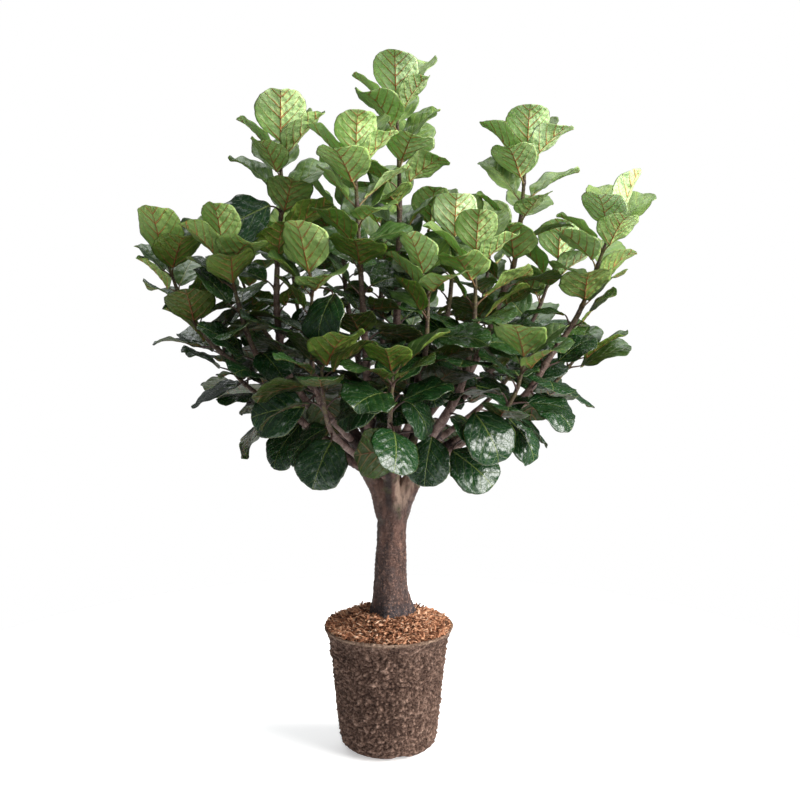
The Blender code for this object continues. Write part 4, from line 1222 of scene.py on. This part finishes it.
def under_material():
    """The blade's under side: pale and soft green when young, with raised tan veins."""
    n = Nodes("leaf_under")
    x, y, margin = n.split("blade")
    # the first growth number is the leaf's age, with painted shade added low in the crown and on the left
    age, tint, chance = n.split("growth")
    spot = leaf_spot(n, x, y, tint)
    rib, side, net, gap = vein_masks(n, x, y, spot, UNDER_VEIN_BREADTH)
    base = n.colours(age, [(0.0, (0.60, 0.79, 0.44)), (0.22, (0.48, 0.67, 0.25)),
                           (0.45, (0.165, 0.250, 0.042)), (0.75, (0.078, 0.116, 0.017)),
                           (1.0, (0.028, 0.047, 0.009))])
    patches = n.ease(n.noise(spot, 2.2, 2.0), 0.36, 0.64)
    base = n.tinted(n.times(patches, 0.5), base, (0.62, 0.74, 0.46))
    away = n.math("ABSOLUTE", x)
    gold = n.times(n.ease(n.noise(spot, 3.2, 2.0), 0.46, 0.66), n.ease(away, 0.0, 0.26, 0.36, 0.0))
    base = n.tinted(gold, base, (1.35, 0.97, 0.65))
    base = n.tinted(n.times(net, 0.10), base, (1.4, 1.25, 1.2))
    # painted highlight: a paler band along each side vein, where the ridges beside the veins catch the light
    edge = n.ease(gap, 0.010, 0.040, 0.50, 0.0)
    base = n.tinted(edge, base, (1.35, 1.25, 1.2))
    vein = n.colours(age, [(0.0, (0.56, 0.33, 0.13)), (0.3, (0.47, 0.25, 0.085)), (0.6, (0.30, 0.17, 0.055)),
                           (1.0, (0.14, 0.090, 0.033))])
    red = n.colours(age, [(0.0, (0.46, 0.17, 0.055)), (0.35, (0.38, 0.115, 0.040)),
                          (1.0, (0.15, 0.050, 0.03))])
    base = n.mix(n.times(side, n.ease(away, 0.05, 0.42, 1.0, 0.45)), base, vein)
    base = n.mix(rib, base, n.mix(n.ease(n.noise(spot, 3.0), 0.35, 0.65), red, vein))
    rim = n.ease(margin, 0.003, 0.012, 0.75, 0.0)
    base = n.mix(rim, base, n.mix(age, (0.075, 0.085, 0.035), (0.030, 0.038, 0.015)))
    puckers = n.noise(spot, 8.0, 1.0)
    grain = n.noise(spot, 38.0)
    n.bump(n.total((side, 0.8), (rib, 1.0), (net, 0.12), (puckers, 2.4), (grain, 0.22)), 0.0036)
    rough = n.ease(n.noise(spot, 14.0), 0.3, 0.7, 0.32, 0.46)
    return n.finish(n.shaded(base, chance), rough, Specular_IOR_Level=0.28, Subsurface_Weight=0.12,
                    Subsurface_Scale=0.004, Subsurface_Radius=(0.6, 1.0, 0.2))


def top_material():
    """The blade's upper side: glossy, darker with age and with painted shade, with pale sunken veins."""
    n = Nodes("leaf_top")
    x, y, margin = n.split("blade")
    # the first growth number is the leaf's age, with painted shade added low in the crown and on the left
    age, tint, chance = n.split("growth")
    spot = leaf_spot(n, x, y, tint)
    rib, side, net, gap = vein_masks(n, x, y, spot, TOP_VEIN_BREADTH)
    base = n.colours(age, [(0.0, (0.25, 0.38, 0.10)), (0.3, (0.110, 0.200, 0.036)),
                           (0.6, (0.030, 0.085, 0.018)), (1.0, (0.007, 0.036, 0.009))])
    patches = n.ease(n.noise(spot, 3.0, 3.0), 0.35, 0.7)
    base = n.tinted(n.times(patches, 0.5), base, (0.6, 0.7, 0.75))
    halo = n.ease(gap, 0.0, 0.045, 0.45, 0.0)
    base = n.tinted(halo, base, (2.2, 1.8, 1.2))
    base = n.mix(n.times(net, 0.10), base, (0.10, 0.16, 0.04))
    vein = n.colours(age, [(0.0, (0.36, 0.42, 0.14)), (1.0, (0.16, 0.22, 0.055))])
    base = n.mix(n.times(side, 0.32), base, vein)
    base = n.mix(n.times(rib, 0.85), base, vein)
    rim = n.ease(margin, 0.004, 0.016, 0.8, 0.0)
    base = n.mix(rim, base, n.mix(age, (0.10, 0.14, 0.04), (0.13, 0.16, 0.035)))
    n.bump(n.total((side, -0.7), (rib, -1.0), (net, -0.10), (n.noise(spot, 6.0, 1.0), 1.7)), 0.0034)
    rough = n.ease(n.noise(spot, 6.0), 0.3, 0.7, 0.18, 0.30)
    rough = n.plus(rough, n.ease(age, 0.20, 0.70, 0.34, 0.0))
    return n.finish(n.shaded(base, chance), rough, Specular_IOR_Level=0.60, Coat_Weight=0.25,
                    Coat_Roughness=0.14)


def stalk_material():
    """Leaf stalks: green-tan when young, dark purple-brown when old."""
    n = Nodes("leaf_stalk")
    share = n.split("blade")[0]
    # the first growth number is the leaf's age, with painted shade added low in the crown and on the left
    age = n.split("growth")[0]
    place = n.object_place()
    base = n.colours(age, [(0.0, (0.33, 0.27, 0.11)), (0.3, (0.21, 0.12, 0.055)),
                           (0.6, (0.085, 0.040, 0.030)), (1.0, (0.045, 0.020, 0.020))])
    base = n.mix(n.ease(share, 0.0, 0.35, 0.6, 0.0), base, (0.05, 0.025, 0.022))
    base = n.mix(n.ease(n.noise(place, 260.0), 0.45, 0.75, 0.0, 0.4), base, (0.26, 0.17, 0.10))
    n.bump(n.noise(place, 420.0), 0.0004, 0.6)
    return n.finish(base, 0.42, Specular_IOR_Level=0.45)


def stem_material():
    """Young wood: purple-brown and green near the tip, pinkish grey with scars lower down."""
    n = Nodes("young_bark")
    share, metres = n.split("blade")[:2]
    place = n.object_place()
    long_place = n.object_place((1.0, 1.0, 0.3))
    low = n.mix(n.ease(n.noise(place, 60.0), 0.35, 0.65), (0.100, 0.055, 0.045), (0.23, 0.155, 0.135))
    low = n.mix(n.ease(n.noise(long_place, 150.0, 4.0), 0.5, 0.72), low, (0.075, 0.038, 0.032))
    high = n.mix(n.ease(n.noise(place, 80.0), 0.35, 0.65), (0.055, 0.030, 0.026), (0.10, 0.085, 0.030))
    base = n.mix(n.ease(share, 0.35, 0.80), low, high)
    dots = n.ease(n.cells(place, 230.0, "F1"), 0.18, 0.30, 0.7, 0.0)
    base = n.mix(dots, base, (0.36, 0.28, 0.22))
    rings = n.math("PINGPONG", n.times(metres, 42.0), 0.5)
    scar = n.ease(rings, 0.0, 0.07, 0.65, 0.0)
    base = n.mix(scar, base, (0.035, 0.020, 0.018))
    n.bump(n.total((n.noise(long_place, 190.0, 5.0), 1.0), (dots, 0.5), (scar, -0.6)), 0.0011, 0.9)
    return n.finish(base, 0.62, Specular_IOR_Level=0.35)


def bark_material():
    """Trunk bark: red-brown, finely cracked and grey below, with a pale streak of painted light on the right
    of the fork, where the key light falls, and painted shade in the fork's crease.
    """
    n = Nodes("bark")
    place = n.object_place()
    x, _, z = (n.add("SeparateXYZ", {0: place}, k) for k in range(3))
    long_place = n.object_place((1.0, 1.0, 0.26))
    streaks = n.ease(n.noise(long_place, 36.0, 4.0), 0.36, 0.66)
    warm = n.mix(streaks, (0.036, 0.016, 0.012), (0.150, 0.076, 0.056))
    grey = n.mix(n.noise(long_place, 55.0, 4.0), (0.028, 0.018, 0.018), (0.110, 0.074, 0.068))
    base = n.mix(n.ease(n.noise(place, 13.0, 4.0), 0.42, 0.62, 0.0, 0.8), warm, grey)
    low = n.ease(n.line(n.noise(place, 30.0), 0.03, z), 0.395, 0.425, 1.0, 0.0)
    base = n.mix(low, base, n.mix(n.noise(place, 60.0), (0.018, 0.014, 0.017), (0.070, 0.055, 0.060)))
    scaly = n.ease(z, 0.575, 0.600, 1.0, 0.35)
    speckle = n.noise(place, 150.0, 5.0, 0.75)
    pale = n.times(n.ease(speckle, 0.52, 0.64, 0.0, 0.75), scaly)
    base = n.mix(pale, base, (0.30, 0.17, 0.125))
    dark = n.times(n.ease(speckle, 0.34, 0.46, 0.85, 0.0), scaly)
    base = n.mix(dark, base, (0.020, 0.011, 0.010))
    cracks = n.ease(n.noise(long_place, 110.0, 6.0, 0.7), 0.56, 0.70)
    base = n.mix(n.times(cracks, 0.75), base, (0.022, 0.012, 0.011))
    base = n.tinted(n.ease(z, 0.74, 0.82), base, (0.52, 0.46, 0.50))
    # painted light: a pale streak on the right side of the fork's limbs, the side the key light falls on
    painted_light_streak = n.times(n.ease(z, 0.625, 0.69), n.ease(n.noise(long_place, 30.0, 3.0), 0.46, 0.60),
                          n.ease(x, 0.004, 0.024, 0.1, 0.95), n.ease(z, 0.76, 0.84, 1.0, 0.1))
    base = n.mix(painted_light_streak, base, (0.42, 0.29, 0.22))
    # painted shade: a dark band down the crease of the fork, between the limbs
    painted_crease_shade = n.ease(n.math("ABSOLUTE", x), 0.003, 0.013, 0.85, 0.0)
    base = n.mix(n.times(painted_crease_shade, n.ease(z, 0.635, 0.675)), base, (0.018, 0.010, 0.009))
    green = n.times(n.ease(z, 0.60, 0.66), n.ease(n.noise(place, 26.0), 0.58, 0.72, 0.0, 0.45))
    base = n.mix(green, base, (0.13, 0.14, 0.045))
    grain = n.noise(long_place, 95.0, 6.0, 0.65)
    n.bump(n.total((grain, 1.0), (cracks, -0.7), (speckle, 1.2)), 0.0060)
    return n.finish(base, n.ease(n.noise(place, 80.0), 0.3, 0.7, 0.50, 0.75), Specular_IOR_Level=0.40)


def pulp_material():
    """Moulded pulp: dark brown fibre, painted dark in the hollows of its relief and pale on its lumps as
    shade and light, with dark pits of painted shade and a paler lip.
    """
    n = Nodes("pulp")
    place = n.object_place()
    z = n.add("SeparateXYZ", {0: place}, 2)
    # painted shade and light: the colour follows the wall's relief, dark in its hollows and pale on its
    # lumps, with random fibre tone from the fine noise
    relief = n.line(n.split("growth")[0], 0.40, 0.48)
    fine = n.times(n.minus(n.noise(place, 170.0, 6.0, 0.75), 0.5), 1.5)
    relief_shade_and_fibre = n.plus(relief, fine)
    base = n.colours(relief_shade_and_fibre, [(0.10, (0.020, 0.010, 0.007)), (0.36, (0.074, 0.043, 0.032)),
                              (0.58, (0.160, 0.098, 0.074)), (0.85, (0.31, 0.205, 0.158))])
    # painted shade: dark spots in the small pits that the bump sinks into the wall
    pit_shade = n.ease(n.noise(n.object_place((1.0, 1.0, 1.4)), 130.0, 5.0, 0.7), 0.34, 0.46, 1.0, 0.0)
    base = n.mix(n.times(pit_shade, 0.6), base, (0.018, 0.010, 0.008))
    lip = n.ease(z, POT_HEIGHT - 0.015, POT_HEIGHT - 0.008)
    pale = n.mix(n.ease(n.noise(place, 90.0, 5.0), 0.35, 0.65), (0.19, 0.120, 0.085), (0.42, 0.29, 0.21))
    base = n.mix(n.times(lip, 0.85), base, pale)
    mat = n.noise(place, 95.0, 3.0, 0.6)
    fibres = n.noise(place, 300.0, 3.0)
    n.bump(n.total((mat, 1.0), (fibres, 0.3), (pit_shade, -0.25)), 0.0160)
    return n.finish(base, 0.92, Specular_IOR_Level=0.15)


def husk_material():
    """Shredded husk: each shred has its own brown, from dark to orange-tan."""
    n = Nodes("husk")
    chance = n.split("growth")[0]
    place = n.object_place()
    base = n.colours(chance, [(0.0, (0.050, 0.021, 0.012)), (0.25, (0.24, 0.100, 0.052)),
                              (0.55, (0.47, 0.215, 0.115)), (0.85, (0.64, 0.35, 0.205)),
                              (1.0, (0.78, 0.55, 0.39))])
    grain = n.ease(n.noise(place, 420.0, 4.0), 0.35, 0.7, 0.0, 0.6)
    base = n.tinted(grain, base, (0.45, 0.40, 0.38))
    n.bump(n.noise(place, 600.0, 4.0), 0.0006, 0.9)
    return n.finish(base, 0.85, Specular_IOR_Level=0.2)


def soil_material():
    """Moist potting mix, almost black."""
    n = Nodes("soil")
    place = n.object_place()
    base = n.mix(n.ease(n.noise(place, 160.0, 6.0), 0.4, 0.65), (0.012, 0.008, 0.006), (0.060, 0.038, 0.026))
    n.bump(n.noise(place, 220.0, 6.0), 0.002)
    return n.finish(base, 0.95, Specular_IOR_Level=0.2)


# The stage and the view.
FLOOR_RADIUS = 1.6
FLOOR_SIDES = 96
FLOOR_DROP = 0.0004  # below the pot's foot
FLOOR_GLOW = 0.40  # lifts the white floor to the white of the background
WORLD_FILL = 0.15
# The suns: azimuth and rise, strength, the spread of the light in degrees, and colour.
SUNS = {
    "key": (-20, 25, 7.0, 50, (1.0, 0.985, 0.96)),
    "front": (-92, 8, 0.80, 40, (0.98, 0.99, 1.0)),
    "top": (110, 64, 2.0, 60, (0.97, 0.99, 1.0)),
}
CAMERA_LENS = 63.9
CAMERA_SHIFT = 0.0144
CAMERA_PLACE = (0.0, -3.60, 1.50)
CAMERA_TILT = 81.0  # degrees from straight down


def make_floor():
    """A white floor that catches the shadow."""
    mesh = bpy.data.meshes.new("floor")
    corners = [(x, y, 0.0) for x, y in circle(FLOOR_RADIUS, FLOOR_SIDES)]
    mesh.from_pydata(corners, [], [list(range(FLOOR_SIDES))])
    floor = bpy.data.objects.new("floor", mesh)
    floor.location.z = -FLOOR_DROP
    bpy.context.scene.collection.objects.link(floor)
    n = Nodes("floor_paint")
    mesh.materials.append(n.finish((0.90, 0.90, 0.90, 1.0), 0.9, Specular_IOR_Level=0.1,
                                   Emission_Color=(1.0, 1.0, 1.0, 1.0), Emission_Strength=FLOOR_GLOW))


def make_sun(name, azimuth, rise, strength, spread, colour):
    """A sun that shines from an azimuth and a rise above the horizon."""
    lamp = bpy.data.lights.new(name, "SUN")
    lamp.energy = strength
    lamp.angle = math.radians(spread)
    lamp.color = colour
    light = bpy.data.objects.new(name, lamp)
    light.rotation_euler = (math.radians(90 - rise), 0.0, math.radians(azimuth + 90))
    bpy.context.scene.collection.objects.link(light)


def make_lights():
    """The suns, and a sky that fills weakly and is seen as white."""
    for name, sun in SUNS.items():
        make_sun(name, *sun)
    world = bpy.data.worlds.new("studio")
    bpy.context.scene.world = world
    world.use_nodes = True
    nodes = world.node_tree.nodes
    links = world.node_tree.links
    fill = nodes["Background"]
    fill.inputs["Color"].default_value = (0.94, 0.97, 1.0, 1.0)
    fill.inputs["Strength"].default_value = WORLD_FILL
    seen = nodes.new("ShaderNodeBackground")
    seen.inputs["Strength"].default_value = 1.0
    seen.inputs["Color"].default_value = (1.0, 1.0, 1.0, 1.0)
    rays = nodes.new("ShaderNodeLightPath")
    both = nodes.new("ShaderNodeMixShader")
    links.new(rays.outputs["Is Camera Ray"], both.inputs[0])
    links.new(fill.outputs[0], both.inputs[1])
    links.new(seen.outputs[0], both.inputs[2])
    links.new(both.outputs[0], nodes["World Output"].inputs["Surface"])


def make_camera():
    """The camera, in front and looking a little down."""
    data = bpy.data.cameras.new("camera")
    data.lens = CAMERA_LENS
    data.sensor_width = 36.0
    data.shift_x = CAMERA_SHIFT
    data.clip_end = 200.0
    camera = bpy.data.objects.new("camera", data)
    camera.location = CAMERA_PLACE
    camera.rotation_euler = (math.radians(CAMERA_TILT), 0.0, 0.0)
    bpy.context.scene.collection.objects.link(camera)
    bpy.context.scene.camera = camera


def dress_soil():
    """The potting soil keeps its CAD solid and gets its own material."""
    node = bpy.data.objects["potting_soil"]
    node.data.materials.clear()
    node.data.materials.append(soil_material())


def main():
    """The stage, the pot with what fills it, the trunk, and the crown shoot by shoot."""
    bpy.context.scene.view_settings.view_transform = "Standard"
    make_floor()
    make_lights()
    make_camera()
    dress_soil()
    make_pot(pulp_material())
    make_mulch(husk_material())
    make_trunk(bark_material())
    leaf_materials = [top_material(), under_material(), stalk_material()]
    wood = stem_material()
    for name, leaves in grow_crown().items():
        if name in STEMS:
            make_shoot_leaves(name, leaves, leaf_materials)
            make_stem(name, leaves, wood)
        else:
            make_old_leaf(name, leaves[0], leaf_materials)


main()
